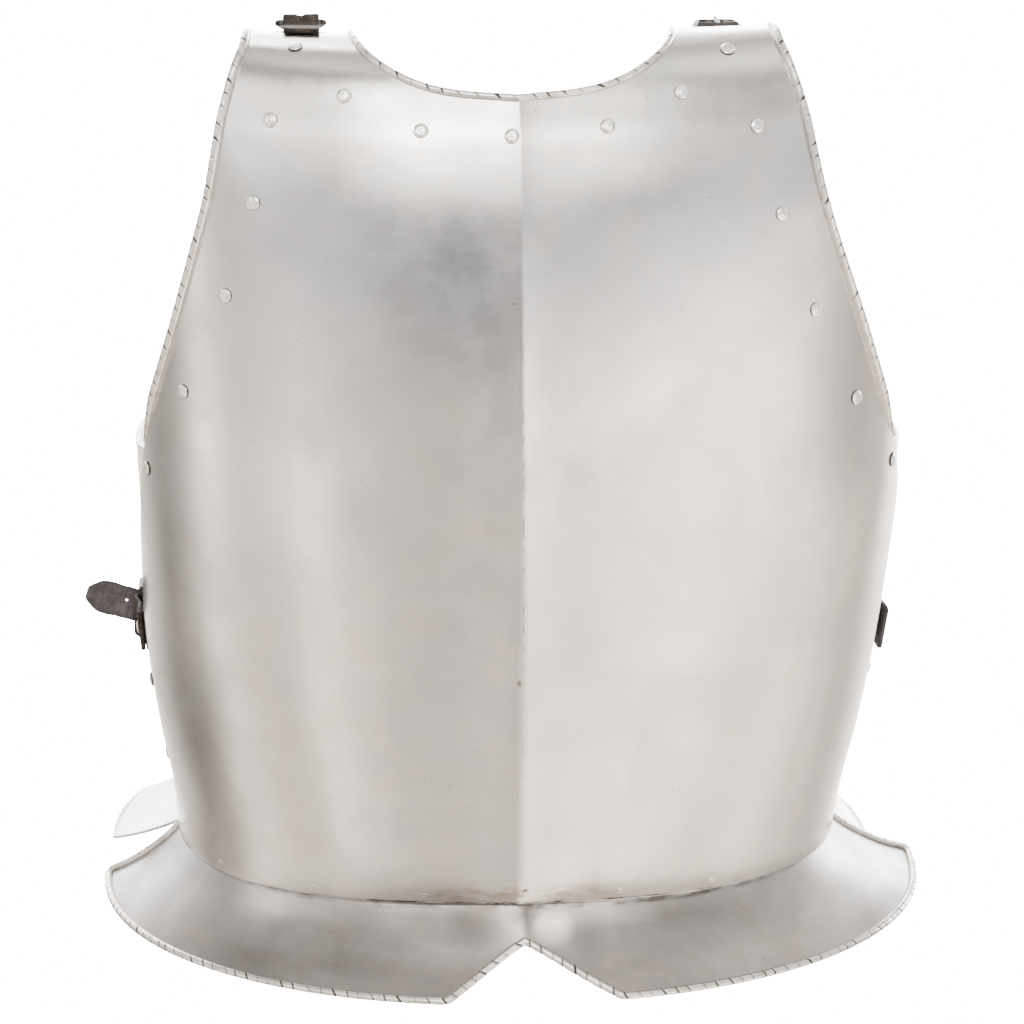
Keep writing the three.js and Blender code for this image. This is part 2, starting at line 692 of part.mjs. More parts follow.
// A side plate with its tab below the waist, one sheet.
function sidePlate(side, holes) {
  const sign = side === 'left' ? -1 : 1;
  const at = (angle, rise) => ({ angle: sign * angle, rise });
  const frontAngle = (rise) => seamAngle(side, rise) - smooth(SIDE_SEAM, 'rise', 'lap', rise);
  const frontCorner = at(frontAngle(SIDE_TOP.seam), SIDE_TOP.seam);
  const seamCorner = at(seamAngle(side, SIDE_TOP.seam) + SIDE_TOP.gap, SIDE_TOP.seam);
  const rearCorner = at(SIDE_REAR_ANGLE, SIDE_TOP.rear);
  const lapTop = between(frontCorner, seamCorner, SIDE_LAP_STEPS);
  const openTop = between(seamCorner, rearCorner, SIDE_OPEN_STEPS);
  const top = [...lapTop, ...openTop.slice(1)];
  const columns = top.length - 1;
  const waist = between(at(frontAngle(0), 0), at(SIDE_REAR_ANGLE, 0), columns);
  const bend = levelAt(waist, -FLARE_DROP);
  const rim = levelAt(waist, RIM_RISE);
  const front = evenSteps(SIDE_ROWS).map((t) => {
    const rise = t * SIDE_TOP.seam;
    return at(frontAngle(rise), rise);
  });
  const rear = between(waist[columns], top[columns], SIDE_ROWS);
  const bands = [
    { low: rim, high: bend, front: between(rim[0], bend[0], FLARE_STEPS) },
    { low: bend, high: waist, front: between(bend[0], waist[0], 1) },
    { low: waist, high: top, front },
  ];
  const nets = bands.map((band) => {
    const back = between(band.low[columns], band.high[columns], band.front.length - 1);
    if (side === 'right') return netBetween(band.low, back, band.high, band.front);
    return netBetween([...band.low].reverse(), band.front, [...band.high].reverse(), back);
  });
  const frontRun = [...bands[0].front, ...bands[1].front.slice(1), ...front.slice(1)];
  const rearRun = [
    ...between(rim[columns], bend[columns], FLARE_STEPS),
    waist[columns],
    ...rear.slice(1),
  ];
  const runs = [
    { places: rim, roll: SKIRT_ROLL },
    { places: rearRun, roll: 0 },
    { places: [...openTop].reverse(), roll: ARM_ROLL },
    { places: [...lapTop].reverse(), roll: 0 },
    { places: [...frontRun].reverse(), roll: 0 },
  ];
  const turned = runs.map(({ places, roll }) => ({ places: [...places].reverse(), roll })).reverse();
  const sheet = sheetGeometry({
    face: flareFace(TABS[side]),
    nets,
    runs: side === 'right' ? runs : turned,
  });
  return cutAll(sheet, holes);
}

// ---------------------------------------------------------------- rivets

const ROUND_STEPS = 8; // facets round rivets, bars and holes
const UP = new THREE.Vector3(0, 1, 0);

// Where a rivet goes: its place on an outer skin, the outward normal, and what it runs through.
function rivetPlace(point, normal, through) {
  const turn = new THREE.Quaternion().setFromUnitVectors(UP, normal);
  return { point, turn, through };
}

function torsoRivet(angle, rise, through) {
  const normal = normalOf(torsoSkin, angle, rise, 0.2, 0.3);
  return rivetPlace(torsoSkin(angle, rise), normal, through);
}

function rivetGeometry(size, through) {
  const foot = -through - TAIL_ROOM;
  const profile = [
    [0, foot - size.peen],
    [size.tail * 0.7, foot - size.peen],
    [size.tail, foot],
    [size.shank, foot],
    [size.shank, GAP],
    [size.head, GAP],
    [size.head * 0.72, GAP + size.dome * 0.72],
    [0, GAP + size.dome],
  ];
  return new THREE.LatheGeometry(profile.map(([r, y]) => new THREE.Vector2(r, y)), ROUND_STEPS);
}

function placed(geometry, { point, turn }) {
  return geometry.applyQuaternion(turn).translate(point.x, point.y, point.z);
}

function rivetHole(size, place) {
  const length = place.through * 2 + 16;
  const radius = size.shank + GAP;
  const bore = new THREE.CylinderGeometry(radius, radius, length, ROUND_STEPS);
  return placed(bore.translate(0, -place.through / 2, 0), place);
}

// ---------------------------------------------------------------- leather and buckles

// A flat strip through stations, each a point with the direction of its width and its width.
// The strip's thickness is on both sides of the points.
function ribbon(stations, thick) {
  const sections = stations.map(({ point, across, width }, i) => {
    const before = stations[Math.max(i - 1, 0)].point;
    const after = stations[Math.min(i + 1, stations.length - 1)].point;
    const along = new THREE.Vector3().subVectors(after, before).normalize();
    const normal = new THREE.Vector3().crossVectors(along, across).normalize();
    const corner = (u, v) =>
      point.clone().addScaledVector(across, (u * width) / 2).addScaledVector(normal, (v * thick) / 2);
    return [corner(1, 1), corner(-1, 1), corner(-1, -1), corner(1, -1)];
  });
  return new LoftGeometry(sections, { capStart: true, capEnd: true });
}

const FOLD = WIRE + BAR_PLAY + LEATHER / 2; // radius of a fold's middle line
const FOLD_STEPS = 6;
const SIDEWAYS = new THREE.Vector3(1, 0, 0);
const UPRIGHT = new THREE.Vector3(0, 0, 1);

// The width direction of leather that lies on the torso at a place.
function acrossTorso(angle, rise) {
  const step = torsoSkin(angle + 0.2, rise).sub(torsoSkin(angle - 0.2, rise));
  return step.normalize();
}

function shoulderChape({ across, width, rivet, bar, topRise }, place) {
  const onPlate = (rise, depth) => {
    const angle = angleAcross(across, rise);
    return { point: torsoPoint(angle, rise, depth), across: acrossTorso(angle, rise), width };
  };
  const low = { near: rivet.rise - 8, far: SHOULDER_RISE + 1.5 };
  const layer = LEATHER + GAP;
  const lowDepth = SHEET + 2 * GAP + LEATHER / 2 + (topRise ? 0 : layer);
  const under = evenSteps(4).map((t) => onPlate(mix(low.near, low.far, t), lowDepth));
  const fold = evenSteps(FOLD_STEPS).map((t) => {
    const turn = Math.PI * (t - 0.5);
    const point = new THREE.Vector3(
      across,
      bar.y + FOLD * Math.cos(turn),
      bar.z + FOLD * Math.sin(turn),
    );
    return { point, across: SIDEWAYS, width };
  });
  const back = topRise
    ? evenSteps(2).map((t) => onPlate(mix(low.far, topRise, t), -GAP * 2 - LEATHER / 2))
    : evenSteps(4).map((t) => onPlate(mix(low.far, low.near, t), lowDepth - layer));
  const strip = ribbon([...under, ...fold, ...back], LEATHER);
  const slot = new THREE.BoxGeometry(SLOT.width, SLOT.front + SLOT.rear, 6 * FOLD);
  slot.translate(across, bar.y + (SLOT.rear - SLOT.front) / 2, bar.z);
  return cutAll(strip, [slot, rivetHole(RIVET, place)]);
}

// A ring of round wire along a closed outline in the local x-y plane.
function wireLoop(outline) {
  const sections = outline.map((point, i) => {
    const before = outline[(i + outline.length - 1) % outline.length];
    const after = outline[(i + 1) % outline.length];
    const along = new THREE.Vector2().subVectors(after, before).normalize();
    return evenSteps(8).slice(1).map((t) => {
      const turn = -2 * Math.PI * t;
      const out = WIRE * Math.cos(turn);
      return new THREE.Vector3(
        point.x + along.y * out,
        point.y - along.x * out,
        WIRE * Math.sin(turn),
      );
    });
  });
  return sew([new LoftGeometry([...sections, sections[0]])]);
}

// A buckle frame in its own axes: the near bar on x at y = 0, the far bar at y = reach.
function buckleFrame({ inner, reach, taper }) {
  const near = inner / 2 + WIRE;
  const far = near - taper;
  const corner = 2;
  const outline = new THREE.Shape();
  outline.moveTo(-near + corner, 0);
  outline.lineTo(near - corner, 0);
  outline.quadraticCurveTo(near, 0, near - (taper * corner) / reach, corner);
  outline.lineTo(far + (taper * corner) / reach, reach - corner);
  outline.quadraticCurveTo(far, reach, far - corner, reach);
  outline.lineTo(-far + corner, reach);
  outline.quadraticCurveTo(-far, reach, -far - (taper * corner) / reach, reach - corner);
  outline.lineTo(-near + (taper * corner) / reach, corner);
  outline.quadraticCurveTo(-near, 0, -near + corner, 0);
  const points = outline.getPoints(3).slice(0, -1);
  return wireLoop(points);
}

// A tongue in the same axes: a ring round the near bar and a pin that rests on the far bar.
function buckleTongue(reach) {
  const hole = WIRE + BAR_PLAY;
  const ring = hole + TONGUE.ring;
  const rest = WIRE + GAP;
  const start = Math.asin(rest / ring);
  const tip = reach + TONGUE.overhang;
  const outline = new THREE.Shape();
  outline.moveTo(ring * Math.cos(start), rest);
  outline.absarc(0, 0, ring, start, Math.PI / 2 - 2 * Math.PI, true);
  outline.lineTo(tip - 2, rest + TONGUE.thick);
  outline.lineTo(tip, rest + TONGUE.thick * 0.55);
  outline.lineTo(tip, rest);
  const bore = new THREE.Path().absarc(0, 0, hole, 0, 2 * Math.PI);
  outline.holes.push(bore);
  const solid = new THREE.ExtrudeGeometry(outline, {
    depth: TONGUE.width,
    bevelEnabled: false,
    curveSegments: ROUND_STEPS,
  });
  solid.translate(0, 0, -TONGUE.width / 2);
  const local = new THREE.Matrix4().makeBasis(
    new THREE.Vector3(0, 1, 0),
    new THREE.Vector3(0, 0, 1),
    new THREE.Vector3(1, 0, 0),
  );
  return solid.applyMatrix4(local);
}

// ---------------------------------------------------------------- the waist strap

function sidePlan(z) {
  return torsoPlan(z, ridgeAt(z - WAIST_Z).y);
}

// The angle, without its sign, at which the torso's side has this y at this level.
function sideAngle(y, z) {
  const plan = sidePlan(z);
  const ahead = plan.side - y;
  const share = Math.abs(ahead) / (ahead > 0 ? plan.front : plan.rear);
  const turn = Math.acos(Math.sign(ahead) * share ** (GIRTH_POWER / 2));
  return THREE.MathUtils.radToDeg(turn);
}

// A station on the torso's side at a level, its middle this far out from the torso's skin.
function sideStation(angle, z, standOff, width) {
  const at = (turn, level) => {
    const { x, y } = planPoint(turn, sidePlan(level));
    return new THREE.Vector3(x, y, level);
  };
  const around = at(angle + 0.2, z).sub(at(angle - 0.2, z));
  const upward = at(angle, z + 4).sub(at(angle, z - 4)).normalize();
  const out = new THREE.Vector3().crossVectors(around, upward).normalize();
  return { point: at(angle, z).addScaledVector(out, standOff), across: upward, width, out };
}

const PLATE_FACE = -LAP_INSET; // the side plate's outer face, measured out from the torso's skin

// The strap's stations from its riveted front end on the right, round the back, to its free end.
function strapStations() {
  const onPlate = PLATE_FACE + GAP + CURVE_ROOM + STRAP.thick / 2;
  const onBreast = GAP + STRAP.thick / 2;
  const anchor = STRAP_ANCHOR.map(({ angle, lift, width }) =>
    sideStation(angle, STRAP.z, onBreast + lift, width),
  );
  const rear = (sign, angles) =>
    angles.map((angle) => sideStation(sign * angle, STRAP.z, onPlate, STRAP.width));
  const right = [...anchor, ...rear(1, [97, 100, 103, 106, 109, 111])];
  const left = rear(-1, [111, 109, 106, 103, 100.5]);
  const back = new THREE.CatmullRomCurve3([
    ...right.slice(-2).map(({ point }) => point),
    ...STRAP_BACK.map(({ x, y, z }) => new THREE.Vector3(x, y, z)),
    ...left.slice(0, 2).map(({ point }) => point),
  ]);
  const count = 34;
  const loop = back.getSpacedPoints(count).slice(2, -2).map((point, i, all) => {
    const twist = Math.max(1 - i / 4, 1 - (all.length - 1 - i) / 4, 0);
    const lean = i < all.length / 2 ? right.at(-1).across : left[0].across;
    const across = UPRIGHT.clone().lerp(lean, twist).normalize();
    return { point, across, width: STRAP.width };
  });
  const tilt = radians(FREE_END.rise);
  const raised = new THREE.Vector3(Math.sin(tilt), 0, Math.cos(tilt));
  const end = FREE_END.route.map(({ x, y, z, width, turn }) => ({
    point: new THREE.Vector3(x, y, z),
    across: left[0].across.clone().lerp(raised, turn).normalize(),
    width,
  }));
  return [...right, ...loop, ...left, ...end];
}

function boreAlong(axis, centre, radius, length) {
  const bore = new THREE.CylinderGeometry(radius, radius, length, ROUND_STEPS);
  const turn = new THREE.Quaternion().setFromUnitVectors(UP, axis);
  return placed(bore, { point: centre, turn });
}

function waistStrap(place) {
  const depthways = new THREE.Vector3(0, 1, 0);
  const tools = STRAP_HOLES.map(({ x, z, radius }) =>
    boreAlong(depthways, new THREE.Vector3(x, FREE_END.y, z), radius, 9),
  );
  return cutAll(ribbon(strapStations(), STRAP.thick), [...tools, rivetHole(RIVET, place)]);
}

// ---------------------------------------------------------------- the side chape

const sideBar = (() => {
  const angle = -sideAngle(SIDE_BUCKLE.barY, SIDE_BUCKLE.z);
  return sideStation(angle, SIDE_BUCKLE.z, PLATE_FACE + GAP + CURVE_ROOM + LEATHER / 2 + FOLD, 0).point;
})();

function sideChape(place) {
  const { width, frontY } = SIDE_CHAPE;
  const { barY, z } = SIDE_BUCKLE;
  const layer = (y, standOff) => sideStation(-sideAngle(y, z), z, standOff, width);
  const low = PLATE_FACE + GAP + CURVE_ROOM + LEATHER / 2;
  const under = evenSteps(3).map((t) => layer(mix(frontY, barY - 5, t), low));
  const lean = under.at(-1).across;
  const fold = evenSteps(FOLD_STEPS).map((t) => {
    const turn = Math.PI * (t - 0.5);
    const point = new THREE.Vector3(
      sideBar.x - FOLD * Math.sin(turn),
      barY + FOLD * Math.cos(turn),
      z,
    );
    return { point, across: UPRIGHT, width };
  });
  const over = evenSteps(3).map((t) => layer(mix(barY - 8, frontY - 1, t), low + LEATHER + GAP));
  under[under.length - 1].across = lean.lerp(UPRIGHT, 0.5).normalize();
  const strip = ribbon([...under, ...fold, ...over], LEATHER);
  const slot = new THREE.BoxGeometry(6 * FOLD, SLOT.front + SLOT.rear, SLOT.width);
  slot.translate(sideBar.x, barY + (SLOT.rear - SLOT.front) / 2, z);
  return cutAll(strip, [slot, rivetHole(RIVET, place)]);
}

// ---------------------------------------------------------------- the whole breastplate

const root = new THREE.Group();

function addPiece(name, geometry, finish, parent = root) {
  const mesh = new THREE.Mesh(geometry, new THREE.MeshStandardMaterial(finish));
  mesh.name = name;
  parent.add(mesh);
  return mesh;
}

// Adds a rivet and returns its hole.
function addRivet(name, size, place, finish) {
  addPiece(name, placed(rivetGeometry(size, place.through), place), finish);
  return rivetHole(size, place);
}

const chapeStack = LEATHER + 2 * GAP;
const holes = { breast: [], skirt: [], left: [], right: [] };
for (const { name, across, rise } of BREAST_RIVETS) {
  const place = torsoRivet(angleAcross(across, rise), rise, SHEET);
  holes.breast.push(addRivet(name, RIVET, place, RIVET_STEEL));
}
for (const side of ['left', 'right']) {
  const sign = side === 'left' ? -1 : 1;
  for (const { level, rise, inset } of SIDE_RIVETS) {
    const angle = sign * (seamAngle(side, rise) - inset);
    const place = torsoRivet(angle, rise, SHEET + LAP_INSET);
    const hole = addRivet(`rivet_side_${side}_${level}`, RIVET, place, RIVET_STEEL);
    holes.breast.push(hole);
    holes[side].push(hole);
  }
}
WAIST_RIVETS.forEach((angle, i) => {
  const place = torsoRivet(angle, WAIST_RIVET_RISE, SHEET + LAP_INSET);
  const hole = addRivet(`rivet_waist_${i + 1}`, FLUSH_RIVET, place, RIVET_STEEL);
  holes.breast.push(hole);
  holes.skirt.push(hole);
});

// The buckles, each in a group whose own axes are the frame's.
for (const side of ['left', 'right']) {
  const fitting = SHOULDER_CHAPES[side];
  const { across, rise } = fitting.rivet;
  const layers = fitting.topRise ? 1 : 2;
  const place = torsoRivet(angleAcross(across, rise), rise, SHEET + layers * chapeStack - GAP);
  holes.breast.push(addRivet(`rivet_shoulder_${side}`, RIVET, place, RIVET_STEEL));
  addPiece(`shoulder_chape_${side}`, shoulderChape(fitting, place), HIDE);
  const group = new THREE.Group();
  group.position.set(fitting.across, fitting.bar.y, fitting.bar.z);
  group.rotation.x = radians(-fitting.droop);
  addPiece(`shoulder_buckle_${side}`, buckleFrame(fitting.buckle), IRON, group);
  addPiece(`shoulder_tongue_${side}`, buckleTongue(fitting.buckle.reach), IRON, group);
  root.add(group);
}

const chapeAngle = -sideAngle(SIDE_CHAPE.rivetY, SIDE_BUCKLE.z);
const chapeTop = PLATE_FACE + CURVE_ROOM + 2 * (LEATHER + GAP);
const chapeSpot = sideStation(chapeAngle, SIDE_BUCKLE.z, chapeTop, 0);
const chapeStand = chapeTop - PLATE_FACE + SHEET;
const chapePlace = rivetPlace(chapeSpot.point, chapeSpot.out, chapeStand);
holes.left.push(addRivet('rivet_chape_side', RIVET, chapePlace, RIVET_STEEL));
addPiece('side_chape', sideChape(chapePlace), HIDE);

const strapTop = PLATE_FACE + GAP + CURVE_ROOM + STRAP.thick;
const strapSpot = sideStation(STRAP_RIVET_ANGLE, STRAP.z, strapTop, 0);
const strapStand = strapTop - PLATE_FACE + SHEET;
const strapPlace = rivetPlace(strapSpot.point, strapSpot.out, strapStand);
holes.right.push(addRivet('rivet_strap', RIVET, strapPlace, RIVET_STEEL));
addPiece('waist_strap', waistStrap(strapPlace), HIDE);

const sideGroup = new THREE.Group();
sideGroup.position.copy(sideBar);
sideGroup.quaternion.setFromRotationMatrix(
  new THREE.Matrix4().makeBasis(UPRIGHT, UP, new THREE.Vector3(-1, 0, 0)),
);
addPiece('side_buckle', buckleFrame(SIDE_BUCKLE), IRON, sideGroup);
addPiece('side_tongue', buckleTongue(SIDE_BUCKLE.reach), IRON, sideGroup);
root.add(sideGroup);

addPiece('breast_plate', breastPlate(holes.breast), STEEL);
addPiece('skirt_plate', skirtPlate(holes.skirt), STEEL);
addPiece('side_plate_left', sidePlate('left', holes.left), STEEL);
addPiece('side_plate_right', sidePlate('right', holes.right), STEEL);

const model = new THREE.Group();
root.position.copy(CENTRE);
model.add(root);

export default model;
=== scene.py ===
"""Steel cuirass breastplate with its side plates, skirt, rivets, leather straps and buckles.

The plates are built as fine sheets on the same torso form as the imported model, their edges are
turned over as roped rolls, and every rivet, strap and buckle is made again at full detail.
Lengths are in millimetres until a mesh is laid, and in metres from there on.
"""

import logging
import math
from dataclasses import dataclass, field
from enum import Enum
from typing import Callable, Sequence

import bmesh
import bpy
import numpy as np
from mathutils import Matrix, Vector


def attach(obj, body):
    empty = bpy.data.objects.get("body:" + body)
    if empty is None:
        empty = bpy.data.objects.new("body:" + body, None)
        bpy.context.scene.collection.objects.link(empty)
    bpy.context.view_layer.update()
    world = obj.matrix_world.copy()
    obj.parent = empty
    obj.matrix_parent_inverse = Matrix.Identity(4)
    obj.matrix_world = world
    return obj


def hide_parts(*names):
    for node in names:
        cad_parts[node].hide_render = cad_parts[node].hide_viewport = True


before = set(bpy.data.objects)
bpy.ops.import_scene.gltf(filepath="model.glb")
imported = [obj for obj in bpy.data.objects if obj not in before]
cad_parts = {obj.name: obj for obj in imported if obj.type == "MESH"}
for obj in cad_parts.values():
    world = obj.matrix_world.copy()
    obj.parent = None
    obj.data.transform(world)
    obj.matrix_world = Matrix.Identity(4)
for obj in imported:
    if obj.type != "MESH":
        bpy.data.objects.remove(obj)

LOG = logging.getLogger("breastplate")
MM = 0.001

Array = np.ndarray


class Side(Enum):
    """The two sides of the breastplate, as seen from the front."""

    LEFT = -1
    RIGHT = 1

    @property
    def word(self) -> str:
        """The side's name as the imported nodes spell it."""
        return self.name.lower()


# ---------------------------------------------------------------- curves and tables


def smooth(keys: Sequence[float], values: Sequence[float], at: Array | float) -> Array:
    """Read a table smoothly between its rows.

    Args:
        keys: The rows' rising keys.
        values: The rows' values.
        at: Where to read.

    Returns:
        The cubic interpolation, held at the ends.
    """
    k = np.asarray(keys, float)
    v = np.asarray(values, float)
    rows = np.arange(len(k))
    before = np.maximum(rows - 1, 0)
    after = np.minimum(rows + 1, len(k) - 1)
    slope = (v[after] - v[before]) / (k[after] - k[before])
    x = np.clip(np.asarray(at, float), k[0], k[-1])
    i = np.clip(np.searchsorted(k, x, side="right") - 1, 0, len(k) - 2)
    step = k[i + 1] - k[i]
    t = (x - k[i]) / step
    low = v[i] * (1 + 2 * t) * (1 - t) ** 2 + slope[i] * step * t * (1 - t) ** 2
    high = v[i + 1] * t * t * (3 - 2 * t) + slope[i + 1] * step * t * t * (t - 1)
    return low + high


def spline(points: Array, per_span: int = 60) -> Array:
    """Run a uniform Catmull-Rom curve through points.

    Args:
        points: The points, one a row.
        per_span: How many samples each span gets.

    Returns:
        The samples, one a row.
    """
    p = np.asarray(points, float)
    padded = np.vstack([p[:1], p, p[-1:]])
    t = (np.arange(per_span) / per_span)[:, None]
    spans = []
    for a, b, c, d in zip(padded, padded[1:], padded[2:], padded[3:]):
        m0, m1 = (c - a) / 2, (d - b) / 2
        cube, square = 2 * b - 2 * c + m0 + m1, -3 * b + 3 * c - 2 * m0 - m1
        spans.append(cube * t**3 + square * t**2 + m0 * t + b)
    return np.vstack([*spans, p[-1:]])


def run_length(points: Array) -> Array:
    """The length along a line of points up to each of them."""
    return np.concatenate([[0.0], np.cumsum(np.linalg.norm(np.diff(points, axis=0), axis=1))])


def resample(points: Array, count: int, *more: Array) -> list[Array]:
    """Spread samples evenly along a line.

    Args:
        points: The line's points, one a row.
        count: How many samples to make.
        more: Other rows of values that go with the points.

    Returns:
        The even points, then each of the other values at them.
    """
    length = run_length(points)
    at = np.linspace(0, length[-1], count)
    return [np.stack([np.interp(at, length, col) for col in rows.T], -1) for rows in (points, *more)]


def unit(vectors: Array) -> Array:
    """The vectors, each scaled to length one."""
    return vectors / np.maximum(np.linalg.norm(vectors, axis=-1, keepdims=True), 1e-9)


def ease_line(points: Array, reach: int) -> Array:
    """Round a line's corners by averaging over neighbours, its ends held."""
    if reach < 1:
        return points
    window = np.hanning(2 * reach + 3)[1:-1]
    window /= window.sum()
    padded = np.vstack([
        2 * points[0] - points[reach:0:-1],
        points,
        2 * points[-1] - points[-2:-reach - 2:-1],
    ])
    return np.stack([np.convolve(col, window, "valid") for col in padded.T], -1)


# ---------------------------------------------------------------- the torso form

SHEET = 1.6  # thickness of every steel plate
TOUCH = 0.35  # air between two pieces that touch
CURVE_ROOM = 0.75  # more air where curved faces lie along each other
LAP_INSET = SHEET + TOUCH + CURVE_ROOM  # how far a plate under another sits behind it
SHOULDER_RISE = 503.0  # the rear edge of the shoulders, along the ridge from the waist
ANGLE_STEP = 0.2  # degrees over which a face's slope is measured
RISE_STEP = 0.3  # millimetres over which it is measured upwards
BEND_ROWS = 4  # rows of faces in the short bend between the waist and a flare
WELD = 1e-6  # metres within which vertices merge

ARM_ROLL = 2.3  # bead radii of the rolled edges
NECK_ROLL = 1.9
SKIRT_ROLL = 2.1
SIDE_TOP_ROLL = 1.1
TAB_ROLL = 1.4


@dataclass(frozen=True)
class Plan:
    """A plan curve: a squared ellipse with its own depth before and behind the widest line."""

    left: Array | float
    right: Array | float
    front: Array | float
    side: Array | float
    rear: Array | float
    power: float

    def at(self, angle: Array) -> tuple[Array, Array]:
        """Find the curve's point at each angle.

        Args:
            angle: Degrees round from the ridge, to the right as seen from the front.

        Returns:
            The x and y of the points.
        """
        turn = np.radians(angle)
        ahead, aside = np.cos(turn), np.sin(turn)
        half = np.where(aside < 0, self.left, self.right)
        depth = np.where(ahead > 0, self.front, self.rear)
        x = half * np.sign(aside) * np.abs(aside) ** (2 / self.power)
        y = self.side - depth * np.sign(ahead) * np.abs(ahead) ** (2 / self.power)
        return x, y


@dataclass
class Torso:
    """The form that every plate follows, in angle round the body and rise up the front."""

    centre: tuple[float, float] = (0.8, -36.6)
    waist_z: float = 41.0
    power: float = 2.4
    rear_depth: float = 200.0
    keel_proud: float = 2.2
    keel_spread: float = 16.0
    ridge_y: tuple = (-81, -93, -103, -110, -112, -110, -103, -92, -80, -70, -60, -47, -30, -12, 0)
    ridge_z: tuple = (
        41, 80, 128, 180, 232, 290, 348, 402, 437, 456, 470.5, 478.6, 480.9, 479.3, 476.7)
    girth_z: tuple = (41, 70, 110, 150, 200, 260, 330, 480)
    girth_left: tuple = (174.5, 177, 184, 189, 191.9, 194.4, 193.9, 190)
    girth_right: tuple = (171.5, 175.5, 184, 190.5, 196.9, 202.9, 201.9, 195)
    girth_side: tuple = (40, 37, 34, 31, 29, 28, 28, 28)
    ridge: Array = field(init=False)
    lengths: Array = field(init=False)

    @property
    def shift(self) -> Array:
        """From the torso's own axes to the model's."""
        return np.array([*self.centre, 0.0])

    def __post_init__(self) -> None:
        """Measure the ridge once."""
        self.ridge = spline(np.stack([self.ridge_y, self.ridge_z], -1))
        self.lengths = run_length(self.ridge)

    def ridge_at(self, rise: Array) -> tuple[Array, Array]:
        """The y and z of the ridge at a rise from the waist."""
        at = np.clip(rise, 0, self.lengths[-1])
        y, z = (np.interp(at, self.lengths, column) for column in self.ridge.T)
        return y, z

    def plan(self, z: Array, front_y: Array) -> Plan:
        """The plan curve at a level whose ridge lies at front_y."""
        left, right, side = (smooth(self.girth_z, table, z)
                             for table in (self.girth_left, self.girth_right, self.girth_side))
        return Plan(left, right, side - front_y, side, self.rear_depth, self.power)

    def skin(self, places: Array) -> Array:
        """Find points of the outer face.

        Args:
            places: Angle and rise in the last axis.

        Returns:
            The points, in millimetres, with x, y and z in the last axis.
        """
        y0, z = self.ridge_at(places[..., 1])
        x, y = self.plan(z, y0).at(places[..., 0])
        keel = self.keel_proud * (1 - np.exp(-np.abs(x) / self.keel_spread))
        return np.stack([x, y + keel, z], -1) + self.shift

    def normal(self, places: Array) -> Array:
        """The outward normal at each place."""
        return face_normal(self.skin, self.within(places))

    def within(self, places: Array) -> Array:
        """The places, kept far enough inside the form's ends to take a normal there."""
        kept = places.copy()
        kept[..., 1] = np.clip(kept[..., 1], RISE_STEP, self.lengths[-1] - RISE_STEP)
        return kept

    def point(self, places: Array, depth: float) -> Array:
        """Points set back by a depth behind the outer face."""
        return self.skin(places) - depth * self.normal(places)

    def angle_across(self, across: Array, rise: Array) -> Array:
        """The angle at which the form is this far from the ridge plane."""
        y0, z = self.ridge_at(rise)
        plan = self.plan(z, y0)
        half = np.where(np.asarray(across) < 0, plan.left, plan.right)
        share = np.minimum(np.abs(across) / half, 1)
        return np.sign(across) * np.degrees(np.arcsin(share ** (self.power / 2)))


def face_normal(skin: Callable[[Array], Array], places: Array) -> Array:
    """The outward normal of any face given as points of places."""
    steps = np.diag([ANGLE_STEP, RISE_STEP])
    around, upward = (skin(places + step) - skin(places - step) for step in steps)
    return unit(np.cross(around, upward))


@dataclass(frozen=True)
class Flare:
    """How a plate under the breast plate flares out below the waist to a plan curve."""

    waist: tuple[float, float]
    rim: tuple[float, float]
    plan: Plan
    rim_z: float

    drop = 2.5  # straight length below the waist
    length = 60.0  # nominal length of the flare, along the sheet
    along = (0, 0.25, 0.5, 0.75, 1)  # shares of that length
    out = (0, 0.21, 0.45, 0.71, 1)  # shares of the way out and down, at each of them
    down = (0, 0.29, 0.55, 0.79, 1)
    end_slope = (1.1, 0.85)  # how it goes on out and down beyond the rim

    @property
    def rim_rise(self) -> float:
        """The rim's rise, which is below the waist."""
        return -(self.drop + self.length)

    def skin(self, torso: Torso, places: Array) -> Array:
        """Points of the outer face above and below the waist."""
        rise = places[..., 1]
        start = places.copy()
        start[..., 1] = np.maximum(rise, 0)
        points = torso.point(start, LAP_INSET)
        points[..., 2] += np.clip(rise, -self.drop, 0)
        along = np.clip((-rise - self.drop) / self.length, 0, None)
        out = smooth(self.along, self.out, along)
        down = smooth(self.along, self.down, along)
        beyond = np.maximum(along - 1, 0)
        out, down = out + self.end_slope[0] * beyond, down + self.end_slope[1] * beyond
        rim_angle = np.interp(places[..., 0], self.waist, self.rim)
        x, y = self.plan.at(rim_angle)
        x = points[..., 0] + (x + torso.centre[0] - points[..., 0]) * out
        y = points[..., 1] + (y + torso.centre[1] - points[..., 1]) * out
        z = points[..., 2] + (self.rim_z - points[..., 2]) * down
        return np.stack([x, y, z], -1)

    def point(self, torso: Torso, places: Array, depth: float) -> Array:
        """Points set back by a depth behind the outer face."""
        def skin(at: Array) -> Array:
            return self.skin(torso, at)
        return skin(places) - depth * face_normal(skin, places)


# ---------------------------------------------------------------- nets of places


def between(start: Sequence[float], end: Sequence[float], steps: int) -> Array:
    """Even places from one place to another."""
    t = np.linspace(0, 1, steps + 1)[:, None]
    return np.asarray(start) * (1 - t) + np.asarray(end) * t


